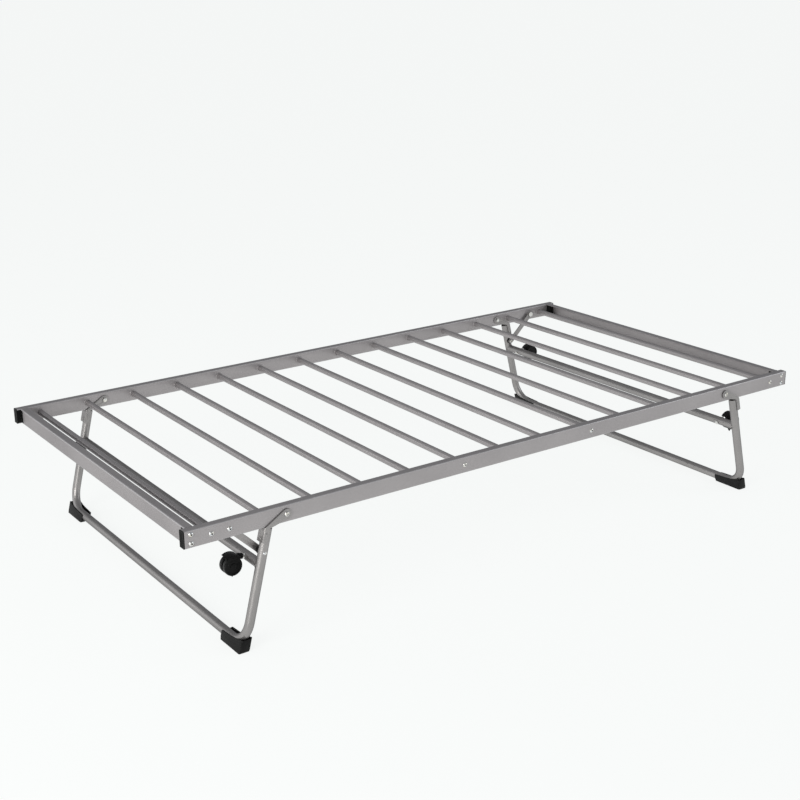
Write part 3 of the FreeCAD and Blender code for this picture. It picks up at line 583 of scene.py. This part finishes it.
def draw_head(radius, height, socket_radius, shank_radius, shank_length):
    """A domed head standing on z = 0, with its shank below."""
    bm = bmesh.new()
    inner = socket_radius * 1.15
    profile = [(radius - 0.0003, 0), (radius, 0.0002)]
    profile += [(r, h + 0.0001) for r, h in dome_profile(radius * 0.985, height, inner, 7)]
    spin_profile(bm, profile, 36)
    top = [e for e in bm.edges if e.is_boundary and e.verts[0].co.z > height * 0.5]
    level = top[0].verts[0].co.z
    bottom = [e for e in bm.edges if e.is_boundary and e.verts[0].co.z < 1e-6]
    hexagon = ring(bm, socket_radius, 6, Matrix.Translation((0, 0, level)))
    bmesh.ops.bridge_loops(bm, edges=top + hexagon)
    floor = pull(bm, hexagon, (0, 0, -0.6 * height))
    close_ring(bm, floor)
    neck = ring(bm, shank_radius, 36, Matrix())
    bmesh.ops.bridge_loops(bm, edges=bottom + neck)
    close_ring(bm, pull(bm, neck, (0, 0, -shank_length)))
    return bm


def facing_out(x, y, z):
    """Stand a part drawn on z = 0 upon a face that looks along +Y."""
    return Matrix.Translation((x, y, z)) @ Matrix.Rotation(math.radians(-90), 4, "X")


BOLT_RADIUS = 0.003
HEAD_SOCKET = 0.0021
low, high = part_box("end_rail_bolts")
HEAD_HEIGHT = high.y - rail_high.y
bolts_low, bolts_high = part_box("slat_bolts")
HEAD_RADIUS = (bolts_high.z - bolts_low.z) / 2
END_BOLT_X = high.x - HEAD_RADIUS
END_BOLT_RISE = high.z - HEAD_RADIUS - DECK_Z
BOLTED_SLATS = ("slat_01", "slat_06", "slat_09", "slat_14")
END_SHANK = 0.033
SLAT_SHANK = 0.018

bm = bmesh.new()
for side in SIDES:
    for end in ENDS:
        for rise in (-END_BOLT_RISE, END_BOLT_RISE):
            bolt = draw_head(HEAD_RADIUS, HEAD_HEIGHT, HEAD_SOCKET, BOLT_RADIUS, END_SHANK)
            turn = Matrix.Rotation(math.radians(23 * len(bm.verts[:]) % 60), 4, "Z")
            place = facing_out(END_BOLT_X, rail_high.y, DECK_Z + rise) @ turn
            merge_in(bm, bolt, flip(side, end) @ place)
finish_piece("end_rail_socket_bolts", bm, zinc, "deck", "zinc_steel", "end_rail_bolts")

bm = bmesh.new()
for name in BOLTED_SLATS:
    for end in ENDS:
        bolt = draw_head(HEAD_RADIUS, HEAD_HEIGHT, HEAD_SOCKET, BOLT_RADIUS, SLAT_SHANK)
        merge_in(bm, bolt, flip("right", end) @ facing_out(slat_x[name], rail_high.y, DECK_Z))
slat_bolts = finish_piece("slat_socket_bolts", bm, zinc, "deck", "zinc_steel", "slat_bolts")
print("bolt heads %.0f mm wide and %.1f mm high" % (2000 * HEAD_RADIUS, 1000 * HEAD_HEIGHT))

# %% [markdown]
# ## Pivot bolts and stay studs
# A heavier bolt carries both plates of each leg bracket, with a nut on the inner side. The stay
# stud is fixed in the rail: its shoulder keeps the stay off the rail, and its flat head keeps
# the stay on. Both use the same head, and a chamfered nut or disc at the other end.

# %% Draw the pivot bolts and the studs
def draw_nut(radius, low_z, high_z):
    """A hexagon nut along Z, with its corners eased."""
    bm = bmesh.new()
    edges = ring(bm, radius, 6, Matrix.Translation((0, 0, low_z)))
    close_ring(bm, edges)
    close_ring(bm, pull(bm, edges, (0, 0, high_z - low_z)))
    bmesh.ops.recalc_face_normals(bm, faces=bm.faces)
    round_edges(bm, sharp_edges(bm), 0.0005, 2)
    return bm


def draw_disc(radius, low_z, high_z, ease=0.0005):
    """A round washer or shoulder along Z with eased rims."""
    bm = bmesh.new()
    profile = [(0.0, low_z), (radius - ease, low_z), (radius, low_z + ease), (radius, high_z - ease),
               (radius - ease, high_z), (0.0, high_z)]
    spin_profile(bm, profile, 32)
    return bm


low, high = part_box("leg_pivot_bolts")
PIVOT_HEAD = 0.0034
PIVOT_NUT = 0.004
PIVOT_HEAD_RADIUS = high.x - pivot.x
PIVOT_SHANK = 0.005
PLATE_FACE = high.y - PIVOT_HEAD
inner_low, inner_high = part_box("leg_bracket_right_rear")
PLATE = 0.0025

bm = bmesh.new()
for side in SIDES:
    for end in ENDS:
        reach = PLATE_FACE - inner_low.y + 0.0003
        bolt = draw_head(PIVOT_HEAD_RADIUS, PIVOT_HEAD, 0.0034, PIVOT_SHANK, reach)
        merge_in(bolt, draw_nut(PIVOT_HEAD_RADIUS, -reach - PIVOT_NUT, -reach))
        merge_in(bm, bolt, flip(side, end) @ facing_out(pivot.x, PLATE_FACE, DECK_Z))
finish_piece("leg_pivot_bolts_and_nuts", bm, zinc, "deck", "zinc_steel", "leg_pivot_bolts")

studs_low, studs_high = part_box("stay_studs")
STUD_DISC = (studs_high.z - studs_low.z) / 2
STUD_X = studs_high.x - STUD_DISC
STUD_RADIUS = 0.004
stay_low, stay_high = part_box("stay_right")
bm = bmesh.new()
for side, end in STAY_CORNERS:
    length = rail_high.y - stay_low.y + 0.0004
    stud = draw_head(HEAD_RADIUS, HEAD_HEIGHT, HEAD_SOCKET, STUD_RADIUS, length)
    merge_in(stud, draw_disc(STUD_DISC, -length - 0.0025, -length))
    merge_in(stud, draw_disc(STUD_DISC - 0.001, stay_high.y + 0.0004 - rail_high.y, -RAIL_WIDTH))
    merge_in(bm, stud, flip(side, end) @ facing_out(STUD_X, rail_high.y, DECK_Z))
finish_piece("shouldered_stay_studs", bm, zinc, "deck", "zinc_steel", "stay_studs")
print("studs %.0f mm from the middle of the bed" % (1000 * STUD_X))

# %% [markdown]
# ## Leg tubes
# One tube makes both legs and the floor bar. We start with a ring at the top of the rear leg and
# take it for a walk: straight down, round a bend with the spin operator, across the bed, round
# the other bend and up. Solidify hollows the tube, so its open ends show a real wall.

# %% Bend the leg tubes
LEG_TOP = -0.035
LEG_BAR = -0.314
LEG_BEND = 0.058
LEG_WALL = 0.0015
LEG_SIDES = 40
BEND_STEPS = 18


def bend(bm, edges, centre, degrees):
    """Carry open edges round a bend in the plane of the leg frame, and return the last ones."""
    turned = bmesh.ops.spin(bm, geom=edges, cent=centre, axis=(1, 0, 0), angle=math.radians(degrees),
                            steps=BEND_STEPS, use_duplicate=False)["geom_last"]
    return [g for g in turned if isinstance(g, bmesh.types.BMEdge)]


def draw_leg_tube():
    bm = bmesh.new()
    run = LEG_TOP - LEG_BAR - LEG_BEND
    corner_y = RAIL_Y - LEG_BEND
    corner_z = LEG_BAR + LEG_BEND
    edges = ring(bm, TUBE_RADIUS, LEG_SIDES, Matrix.Translation((LEG_X, RAIL_Y, LEG_TOP)))
    edges = pull(bm, edges, (0, 0, -run))
    edges = bend(bm, edges, (LEG_X, corner_y, corner_z), -90)
    edges = pull(bm, edges, (0, -2 * corner_y, 0))
    edges = bend(bm, edges, (LEG_X, -corner_y, corner_z), -90)
    pull(bm, edges, (0, 0, run))
    give_wall(bm, LEG_WALL)
    return bm


def lean(bm, side, end="rear"):
    """Take a drawing of the upright right rear leg to its leaning place at a corner."""
    bmesh.ops.transform(bm, matrix=flip(side, end) @ LEAN, verts=bm.verts)
    return bm


for side in SIDES:
    leg = finish_piece("bent_leg_tube_" + side, lean(draw_leg_tube(), side), leg_silver,
                       side + "_leg_frame", "silver_paint", "leg_tube_" + side)
    print(leg.name, len(leg.data.polygons), "faces")

# %% [markdown]
# ## Cross bars and their welds
# A straight tube joins the two legs and carries the casters. Its ends are cut to fit round the
# legs and welded there. The saddle line of two equal tubes is a ring whose points slide along
# the bar by how high they stand above its middle, so a thin ring slid in that way is the weld.

# %% Draw the cross bars and weld beads
BEAD = 0.0013


def draw_cross_bar():
    bm = bmesh.new()
    end_y = RAIL_Y - TUBE_RADIUS / 2
    start = Matrix.Translation((LEG_X, -end_y, CROSS_BAR_Z)) @ ALONG_Y
    pull(bm, ring(bm, TUBE_RADIUS, LEG_SIDES, start), (0, 2 * end_y, 0))
    give_wall(bm, LEG_WALL)
    return bm


def draw_weld():
    """A rippled bead where the bar meets the rear leg."""
    bm = bmesh.new()
    radius = TUBE_RADIUS + 0.2 * BEAD
    upended = Matrix.Translation((radius, 0, 0)) @ FACE_FRONT
    section = bmesh.ops.create_circle(bm, segments=8, radius=BEAD, matrix=upended)["verts"]
    loop = list({e for v in section for e in v.link_edges})
    bmesh.ops.spin(bm, geom=section + loop, cent=(0, 0, 0), axis=(0, 0, 1), angle=2 * math.pi,
                   steps=72, use_merge=True)
    bmesh.ops.remove_doubles(bm, verts=bm.verts, dist=1e-6)
    for v in bm.verts:
        turn = math.atan2(v.co.y, v.co.x)
        ripple = 1 + 0.012 * math.sin(26 * turn)
        v.co.x *= ripple
        v.co.y *= ripple
        v.co.z += -TUBE_RADIUS * abs(math.cos(turn)) - 0.2 * BEAD
    bmesh.ops.transform(bm, verts=bm.verts, matrix=Matrix.Translation((LEG_X, RAIL_Y, CROSS_BAR_Z))
                        @ Matrix.Rotation(math.radians(90), 4, "Z") @ ALONG_X)
    return bm


for side in SIDES:
    bm = draw_cross_bar()
    weld = draw_weld()
    merge_in(bm, weld)
    merge_in(bm, weld, Matrix.Diagonal((1, -1, 1, 1)))
    bar = finish_piece("welded_cross_bar_" + side, lean(bm, side), leg_silver, side + "_leg_frame",
                       "silver_paint", "cross_bar_" + side)
    print(bar.name, len(bar.data.polygons), "faces")

# %% [markdown]
# ## Leg brackets and stays
# The bracket is folded sheet: two plates with a round eye, joined by a web behind the leg. The
# stay is a flat strip with an open slot. The frame already has both outlines with their holes,
# so the quickest good start is a copy of the solid. Its triangles are merged into whole faces
# first, and then every cut edge gets the small roll that a stamping press leaves.

# %% Dress the brackets and the stays
def copy_solid(node):
    """A clean bmesh of one of the frame's solids."""
    bm = bmesh.new()
    bm.from_mesh(frame["nodes"][node].data)
    bmesh.ops.remove_doubles(bm, verts=bm.verts, dist=1e-6)
    bmesh.ops.dissolve_limit(bm, angle_limit=math.radians(1), verts=bm.verts, edges=bm.edges)
    return bm


def draw_stamping(node, roll):
    bm = copy_solid(node)
    round_edges(bm, sharp_edges(bm), roll, 2)
    return bm


for side in SIDES:
    for end in ENDS:
        node = "leg_bracket_%s_%s" % (side, end)
        finish_piece("folded_" + node, draw_stamping(node, 0.0005), leg_silver, side + "_leg_frame",
                     "silver_paint", node)
    node = "stay_" + side
    finish_piece("stamped_" + node, draw_stamping(node, 0.0006), leg_silver, side + "_stay",
                 "silver_paint", node)
print("brackets and stays:", len(made_pieces), "pieces so far")

# %% [markdown]
# ## Rivets, stay pins and caster stems
# Three kinds of fastening are left on each leg frame. A painted rivet goes through the bracket
# and the leg, and a second one through the web. The stay turns on a pin with a keeper disc, and a
# black ring holds it clear of the leg. The caster stem passes through the cross bar between a nut
# and a collar.

# %% Draw the leg frame's fastenings
RIVET_X = LEG_X + 0.006
RIVET_Z = -0.048
WEB_RIVET_Z = -0.060
WEB_FACE = 0.0495
RIVET_RADIUS = 0.004
RIVET_HEAD = 0.0014
bracket_outer = inner_high.y
bracket_inner = inner_low.y


def draw_round_head(radius, height):
    """A plain rivet head on z = 0, with a flat ring round it from the rivet set."""
    bm = bmesh.new()
    profile = [(0.6 * radius, -0.0005), (radius, -0.0005), (radius, 0.0002)]
    profile += [(r, h + 0.0002) for r, h in dome_profile(radius * 0.94, height - 0.0002, 0.0006, 6)]
    profile += [(0.0, height), (0.0, -0.0005), (0.6 * radius, -0.0005)]
    spin_profile(bm, profile, 28)
    return bm


def facing_in(x, y, z):
    return Matrix.Translation((x, y, z)) @ Matrix.Rotation(math.radians(90), 4, "X")


def draw_rivets():
    """The rear bracket's rivets: one across the leg, and one in the web."""
    bm = bmesh.new()
    merge_in(bm, draw_round_head(RIVET_RADIUS, RIVET_HEAD), facing_out(RIVET_X, bracket_outer, RIVET_Z))
    merge_in(bm, draw_round_head(RIVET_RADIUS, RIVET_HEAD), facing_in(RIVET_X, bracket_inner, RIVET_Z))
    web = Matrix.Translation((WEB_FACE, RAIL_Y, WEB_RIVET_Z)) @ ALONG_X
    merge_in(bm, draw_round_head(RIVET_RADIUS, RIVET_HEAD), web)
    return bm


PIN_RADIUS = 0.0035
KEEPER_RADIUS = 0.006
SPACER_RADIUS = 0.009
LEG_FACE = RAIL_Y - TUBE_RADIUS


def draw_stay_pin():
    """The right stay's pin: a keeper disc on the stay, and a round head outside the leg."""
    bm = bmesh.new()
    place = facing_out(LEG_X, 0, stay_pivot.z)
    merge_in(bm, draw_disc(PIN_RADIUS, stay_low.y - 0.0005, LEG_FACE + 0.001), place)
    merge_in(bm, draw_disc(KEEPER_RADIUS, stay_low.y - 0.0033, stay_low.y - 0.0003, 0.0008), place)
    head = facing_out(LEG_X, RAIL_Y + TUBE_RADIUS - 0.001, stay_pivot.z)
    merge_in(bm, draw_round_head(0.0045, 0.0024), head)
    return bm


def draw_stay_spacer():
    """The plastic ring between the stay and the leg, let into the leg's round side."""
    bm = bmesh.new()
    r, bore = SPACER_RADIUS, PIN_RADIUS + 0.0001
    near, far = stay_high.y + 0.0003, LEG_FACE + 0.0028
    profile = [(bore, near), (r - 0.0008, near), (r, near + 0.0008), (r, far), (bore, far), (bore, near)]
    spin_profile(bm, profile, 40)
    bmesh.ops.transform(bm, matrix=facing_out(LEG_X, 0, stay_pivot.z), verts=bm.verts)
    return bm


BOSS_START = LEG_X + TUBE_RADIUS + 0.005
BOSS_END = LEG_X + TUBE_RADIUS + 0.017
STEM_RADIUS = 0.004
STEM_NUT = 0.0055
STEM_COLLAR = 0.007


def draw_stem():
    """The rear caster's stem: threaded end, nut, collar, and the pin inside the boss."""
    bm = bmesh.new()
    place = Matrix.Translation((0, CASTER_Y, CROSS_BAR_Z)) @ ALONG_X
    inboard = LEG_X - TUBE_RADIUS
    outside = LEG_X + TUBE_RADIUS
    merge_in(bm, draw_disc(STEM_RADIUS, inboard - 0.005, BOSS_END - 0.005), place)
    merge_in(bm, draw_nut(STEM_NUT, inboard - 0.0035, inboard + 0.001), place)
    merge_in(bm, draw_nut(STEM_COLLAR, outside - 0.001, BOSS_START - 0.0003), place)
    return bm


PAIRED = (("bracket_rivets", "set_bracket_rivets", draw_rivets, leg_silver, "silver_paint"),
          ("caster_stems", "nutted_caster_stems", draw_stem, zinc, "zinc_steel"))
SINGLE = (("stay_pin", "spaced_stay_pin", draw_stay_pin, zinc, "zinc_steel"),
          ("stay_spacer", "moulded_stay_spacer", draw_stay_spacer, moulding, "black_plastic"))
for side, end in STAY_CORNERS:
    body = side + "_leg_frame"
    for node, piece_name, draw, finish, slot in PAIRED:
        bm = draw()
        merge_in(bm, draw(), Matrix.Diagonal((1, -1, 1, 1)))
        finish_piece(piece_name + "_" + side, lean(bm, side), finish, body, slot, node + "_" + side)
    for node, piece_name, draw, finish, slot in SINGLE:
        bm = lean(draw(), side, end)
        finish_piece(piece_name + "_" + side, bm, finish, body, slot, node + "_" + side)
print("fastenings on each leg frame:", [row[0] for row in PAIRED + SINGLE])

# %% [markdown]
# ## Shoes
# Each corner of the floor bar sits in a moulded trough that keeps the tube off the floor. Its
# side view is a short outline. Pulled across and opened along the top, it becomes a shell;
# rounding the outside and thickening inwards leaves a boot with even walls. The legs lean but
# the floor is flat, so the boot is sheared, not turned: its sole stays level.

# %% Mould the shoes
shoe_low, shoe_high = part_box("shoe_right_rear")
SHOE_WALL = 0.0023
SHOE_HALF_WIDTH = 0.0137
SHOE_ROUND = 0.003
bar_centre = LEAN @ Vector((LEG_X, 0, LEG_BAR))


def draw_shoe():
    bm = bmesh.new()
    inner, outer = shoe_low.y, shoe_high.y
    outline = [(inner + 0.0025, 0.0), (outer - 0.0015, 0.0), (outer, 0.0043), (outer, 0.0300),
               (outer - 0.003, 0.0320), (outer - 0.016, 0.0291), (outer - 0.032, 0.0257),
               (outer - 0.052, 0.0237), (inner + 0.004, 0.0218), (inner, 0.0189), (inner, 0.0072)]
    points = [bm.verts.new((-SHOE_HALF_WIDTH, y, z)) for y, z in outline]
    side = bm.faces.new(points)
    pulled = bmesh.ops.extrude_face_region(bm, geom=[side])["geom"]
    moved = [g for g in pulled if isinstance(g, bmesh.types.BMVert)]
    bmesh.ops.translate(bm, verts=moved, vec=(2 * SHOE_HALF_WIDTH, 0, 0))
    bmesh.ops.recalc_face_normals(bm, faces=bm.faces)
    lid = [f for f in bm.faces if f.normal.z > 0.5]
    bmesh.ops.delete(bm, geom=lid, context="FACES")
    outside = [e for e in sharp_edges(bm, 25) if middle(e).z > 0.001]
    round_edges(bm, outside, SHOE_ROUND, 3)
    bmesh.ops.solidify(bm, geom=bm.faces[:], thickness=SHOE_WALL)
    shear = Matrix()
    shear[0][2] = -math.tan(SPLAY)
    shear[0][3] = bar_centre.x + bar_centre.z * math.tan(SPLAY)
    bmesh.ops.transform(bm, matrix=shear, verts=bm.verts)
    return bm


for side in SIDES:
    for end in ENDS:
        bm = draw_shoe()
        bmesh.ops.transform(bm, matrix=flip(side, end), verts=bm.verts)
        node = "shoe_%s_%s" % (side, end)
        shoe = finish_piece("moulded_" + node, bm, moulding, side + "_leg_frame", "black_plastic",
                            node)
print(shoe.name, len(shoe.data.polygons), "faces")

# %% [markdown]
# ## Caster hoods
# A twin-wheel caster has a hood that arches over both wheels and comes down their sides as two
# cheeks, a disc between the wheels that carries the axle, and a boss that turns on the stem. The
# hood is a U-shaped section spun half way round the axle. A slanted bisect_plane takes its lower
# part away, and triangle_fill closes the cut. A pointed tail follows behind the disc.

# %% Draw the hoods
wheel_low, wheel_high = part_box("caster_wheels_right_rear")
WHEEL_RADIUS = (wheel_high.z - wheel_low.z) / 2
hood_low, hood_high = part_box("caster_hood_right_rear")
HOOD_HALF = (hood_high.y - hood_low.y) / 2
HOOD_INSIDE = WHEEL_RADIUS + 0.0013
HOOD_OUTSIDE = 0.0265
CHEEK = 0.0016
CHEEK_EDGE = 0.019
CHEEK_SLOPE = 0.075
SPINE_RADIUS = 0.019
SPINE_HALF = 0.002


def draw_fender():
    """The arch and its cheeks, round an axle along Y through the origin."""
    bm = bmesh.new()
    half, r = HOOD_HALF, HOOD_OUTSIDE
    outside = [(0.004, -half), (r - 0.0014, -half), (r - 0.0005, -half + 0.0004), (r, -half + 0.0014)]
    inside = [(HOOD_INSIDE, half - CHEEK), (0.004, half - CHEEK)]
    half_section = outside + [(radius, -y) for radius, y in reversed(outside)]
    section = half_section + [(radius, y) for radius, y in reversed(inside)]
    section += [(radius, -y) for radius, y in inside]
    points = [bm.verts.new((radius, y, 0)) for radius, y in section]
    bmesh.ops.spin(bm, geom=[bm.faces.new(points)], cent=(0, 0, 0), axis=(0, -1, 0),
                   angle=math.pi, steps=48)
    bmesh.ops.recalc_face_normals(bm, faces=bm.faces)
    everything = bm.verts[:] + bm.edges[:] + bm.faces[:]
    bmesh.ops.bisect_plane(bm, geom=everything, plane_co=(0, 0, CHEEK_EDGE),
                           plane_no=(CHEEK_SLOPE, 0, 1), clear_inner=True)
    rim = [e for e in bm.edges if e.is_boundary]
    bmesh.ops.triangle_fill(bm, edges=rim, use_beauty=True, use_dissolve=True)
    return bm


def draw_spine():
    """The disc between the wheels, its web up to the arch and its pointed tail."""
    bm = bmesh.new()
    rim = SPINE_HALF - 0.0005
    spin_profile(bm, [(0.0, -SPINE_HALF), (SPINE_RADIUS - 0.0005, -SPINE_HALF), (SPINE_RADIUS, -rim),
                      (SPINE_RADIUS, rim), (SPINE_RADIUS - 0.0005, SPINE_HALF), (0.0, SPINE_HALF)], 48)
    bmesh.ops.transform(bm, matrix=Matrix.Rotation(math.radians(90), 4, "X"), verts=bm.verts)
    web = bmesh.new()
    block(web, (-0.014, -SPINE_HALF, 0.004), (0.016, SPINE_HALF, HOOD_INSIDE * 0.9))
    round_edges(web, sharp_edges(web), 0.0008, 2)
    merge_in(bm, web)
    tail = bmesh.new()
    corners = [(0.0078, -0.0163), (-0.0088, -0.0287), (-0.0172, -0.006), (0.0, 0.0)]
    side = tail.faces.new([tail.verts.new((x, -SPINE_HALF, z)) for x, z in corners])
    pulled = bmesh.ops.extrude_face_region(tail, geom=[side])["geom"]
    moved = [g for g in pulled if isinstance(g, bmesh.types.BMVert)]
    bmesh.ops.translate(tail, verts=moved, vec=(0, 2 * SPINE_HALF, 0))
    bmesh.ops.recalc_face_normals(tail, faces=tail.faces)
    round_edges(tail, sharp_edges(tail), 0.0006, 2)
    merge_in(bm, tail)
    return bm


def draw_hood():
    """The rear hood, in the upright drawing of the leg."""
    bm = draw_fender()
    merge_in(bm, draw_spine())
    bmesh.ops.translate(bm, verts=bm.verts, vec=axle)
    boss = bmesh.new()
    r = 0.007
    bore = STEM_RADIUS + 0.0002
    spin_profile(boss, [(bore, BOSS_START), (r - 0.0008, BOSS_START), (r, BOSS_START + 0.0008),
                        (r, BOSS_END - 0.002), (r - 0.002, BOSS_END), (bore, BOSS_END),
                        (bore, BOSS_START)], 32)
    merge_in(bm, boss, Matrix.Translation((0, CASTER_Y, CROSS_BAR_Z)) @ ALONG_X)
    bridge = bmesh.new()
    block(bridge, (BOSS_END - 0.004, CASTER_Y - 0.005, CROSS_BAR_Z - 0.0045),
          (axle.x - 0.010, CASTER_Y + 0.005, CROSS_BAR_Z + 0.005))
    round_edges(bridge, sharp_edges(bridge), 0.0015, 3)
    merge_in(bm, bridge)
    return bm


for side in SIDES:
    for end in ENDS:
        corner = "%s_%s" % (side, end)
        hood = finish_piece("arched_caster_hood_" + corner, lean(draw_hood(), side, end), moulding,
                            "caster_" + corner, "black_plastic", "caster_hood_" + corner)
print(hood.name, len(hood.data.polygons), "faces")

# %% [markdown]
# ## Wheels and axles
# Each wheel is one spun section: a hub round the axle, a sunk disc with a fine step in it, and a
# rim with a slightly crowned tread. The faces of the tread are marked as worn. The axle ends in a
# black cap over each hub.

# %% Draw the wheels and their axles
WHEEL_WIDTH = 0.011
WHEEL_GAP = 0.005
WEB_SINK = 0.0015
TREAD_STEPS = 72


def draw_wheel():
    """A wheel whose outer face looks along +Z, with its inner face on z = 0."""
    bm = bmesh.new()
    w, r = WHEEL_WIDTH, WHEEL_RADIUS
    bore, hub, well = 0.0031, 0.0062, r - 0.0052
    profile = [(bore, 0.0), (r - 0.0018, 0.0), (r - 0.0005, 0.0006), (r - 0.0001, 0.002), (r, w / 2),
               (r - 0.0001, w - 0.002), (r - 0.0006, w - 0.0006), (r - 0.0018, w), (well + 0.0012, w),
               (well + 0.0004, w - 0.0004), (well, w - WEB_SINK), (well - 0.0034, w - WEB_SINK),
               (well - 0.0040, w - 0.0009), (hub + 0.0006, w - 0.0009), (hub, w - 0.0004),
               (bore, w - 0.0004), (bore, 0.0)]
    spin_profile(bm, profile, TREAD_STEPS)
    wear_and_highlight = wear_and_highlight_layer(bm)
    for face in bm.faces:
        centre = face.calc_center_median()
        if centre.xy.length > r - 0.0016:
            face[wear_and_highlight] = 1.0
    return bm


def draw_axle():
    """An axle with a shallow domed cap at each end."""
    bm = bmesh.new()
    half = WHEEL_GAP / 2 + WHEEL_WIDTH
    merge_in(bm, draw_disc(0.003, -half, half))
    head = draw_round_head(0.007, 0.0010)
    merge_in(bm, head, Matrix.Translation((0, 0, half + 0.0006)))
    merge_in(bm, head, Matrix.Rotation(math.pi, 4, "X") @ Matrix.Translation((0, 0, half + 0.0006)))
    return bm


for side in SIDES:
    for end in ENDS:
        corner = "%s_%s" % (side, end)
        bm = bmesh.new()
        for way in (-1, 1):
            face_out = Matrix.Translation(axle + Vector((0, way * WHEEL_GAP / 2, 0)))
            face_out = face_out @ Matrix.Rotation(math.radians(-90 * way), 4, "X")
            merge_in(bm, draw_wheel(), face_out)
        finish_piece("twin_wheels_" + corner, lean(bm, side, end), tyre, "wheels_" + corner,
                     "wheel_black", "caster_wheels_" + corner)
        bm = bmesh.new()
        merge_in(bm, draw_axle(), Matrix.Translation(axle) @ Matrix.Rotation(math.radians(90), 4, "X"))
        finish_piece("capped_axle_" + corner, lean(bm, side, end), moulding, "caster_" + corner,
                     "black_plastic", "caster_axle_" + corner)
print("pieces made:", len(made_pieces))

# %% [markdown]
# ## What stays from the frame
# The blocks inside the channel ends and the plugs inside the bolted slats are right as they are.
# They keep their solids and only get a finish.

# %% Finish the kept solids
for name, finish in (("corner_blocks", moulding), ("slat_plugs", moulding)):
    kept = frame["nodes"][name]
    kept.data.materials.clear()
    kept.data.materials.append(finish)
print("kept:", [name for name in frame["nodes"] if not frame["nodes"][name].hide_render])

# %% [markdown]
# ## The floor
# A plain pale floor runs far out. It glows a little by itself, which keeps it pale under the bed.

# %% Lay the floor
bm = bmesh.new()
bmesh.ops.create_grid(bm, x_segments=8, y_segments=8, size=90)
mesh = bpy.data.meshes.new("studio_floor")
bm.to_mesh(mesh)
bm.free()
studio_floor = bpy.data.objects.new("studio_floor", mesh)
bpy.context.scene.collection.objects.link(studio_floor)
paper, tree, shader, place = start_finish("pale_paper", metallic=0.0)
shader.inputs["Base Color"].default_value = (0.16, 0.165, 0.165, 1)
shader.inputs["Roughness"].default_value = 1.0
shader.inputs["Specular IOR Level"].default_value = 0.0
shader.inputs["Emission Color"].default_value = (0.985, 1.0, 0.99, 1)
shader.inputs["Emission Strength"].default_value = 0.86
mesh.materials.append(paper)

# %% [markdown]
# ## The light
# Metal shows what it reflects, so the light matters more than the paint: a bright room all round,
# a darker ceiling, and large soft lamps that draw the long highlights.

# %% Light the studio
world = bpy.data.worlds.new("studio")
bpy.context.scene.world = world
world.use_nodes = True
sky = world.node_tree
heading = add(sky, "TexCoord").outputs["Generated"]
height = add(sky, "SeparateXYZ", {"Vector": heading}).outputs["Z"]
room = ramp(sky, height, [(0.0, (0.80, 0.83, 0.84)), (0.12, (0.52, 0.54, 0.55)),
                          (0.5, (0.36, 0.37, 0.38))])
sky.links.new(room, sky.nodes["Background"].inputs["Color"])
sky.nodes["Background"].inputs["Strength"].default_value = 1.0


def soft_lamp(name, place, target, size, power, tint):
    """A square lamp that faces its target."""
    lamp = bpy.data.lights.new(name, "AREA")
    lamp.size = size
    lamp.energy = power
    lamp.color = tint
    stand = bpy.data.objects.new(name, lamp)
    stand.location = place
    stand.rotation_euler = (Vector(target) - Vector(place)).to_track_quat("-Z", "Y").to_euler()
    bpy.context.scene.collection.objects.link(stand)
    return stand


soft_lamp("key_lamp", (-4.4, -1.8, 1.5), (0, 0, 0.2), 2.4, 110, (1.0, 0.985, 0.96))
soft_lamp("fill_lamp", (3.6, -2.6, 1.8), (0, 0, 0.2), 2.0, 30, (0.95, 0.98, 1.0))
soft_lamp("back_lamp", (-3.6, 2.8, 1.3), (-0.6, 0, 0.2), 2.8, 20, (1.0, 1.0, 1.0))

# %% [markdown]
# ## The camera
# A long lens from above one corner. A lens shift moves the picture without turning the camera.

# %% Place the camera
YAW, PITCH, ROLL = 33.71, 18.18, -0.88
aim = (Matrix.Rotation(math.radians(-YAW), 4, "Z") @ Matrix.Rotation(math.radians(90 - PITCH), 4, "X")
       @ Matrix.Rotation(math.radians(ROLL), 4, "Z"))
lens = bpy.data.cameras.new("camera")
lens.lens = 59.97
lens.sensor_width = 36.0
lens.shift_x = 0.0487
lens.shift_y = -0.0079
lens.clip_end = 400
camera = bpy.data.objects.new("camera", lens)
camera.matrix_world = Matrix.Translation((-2.0517, -2.8273, 1.4649)) @ aim
bpy.context.scene.collection.objects.link(camera)
bpy.context.scene.camera = camera
bpy.context.scene.view_settings.view_transform = "Standard"
print("camera looks down %.1f degrees" % PITCH)
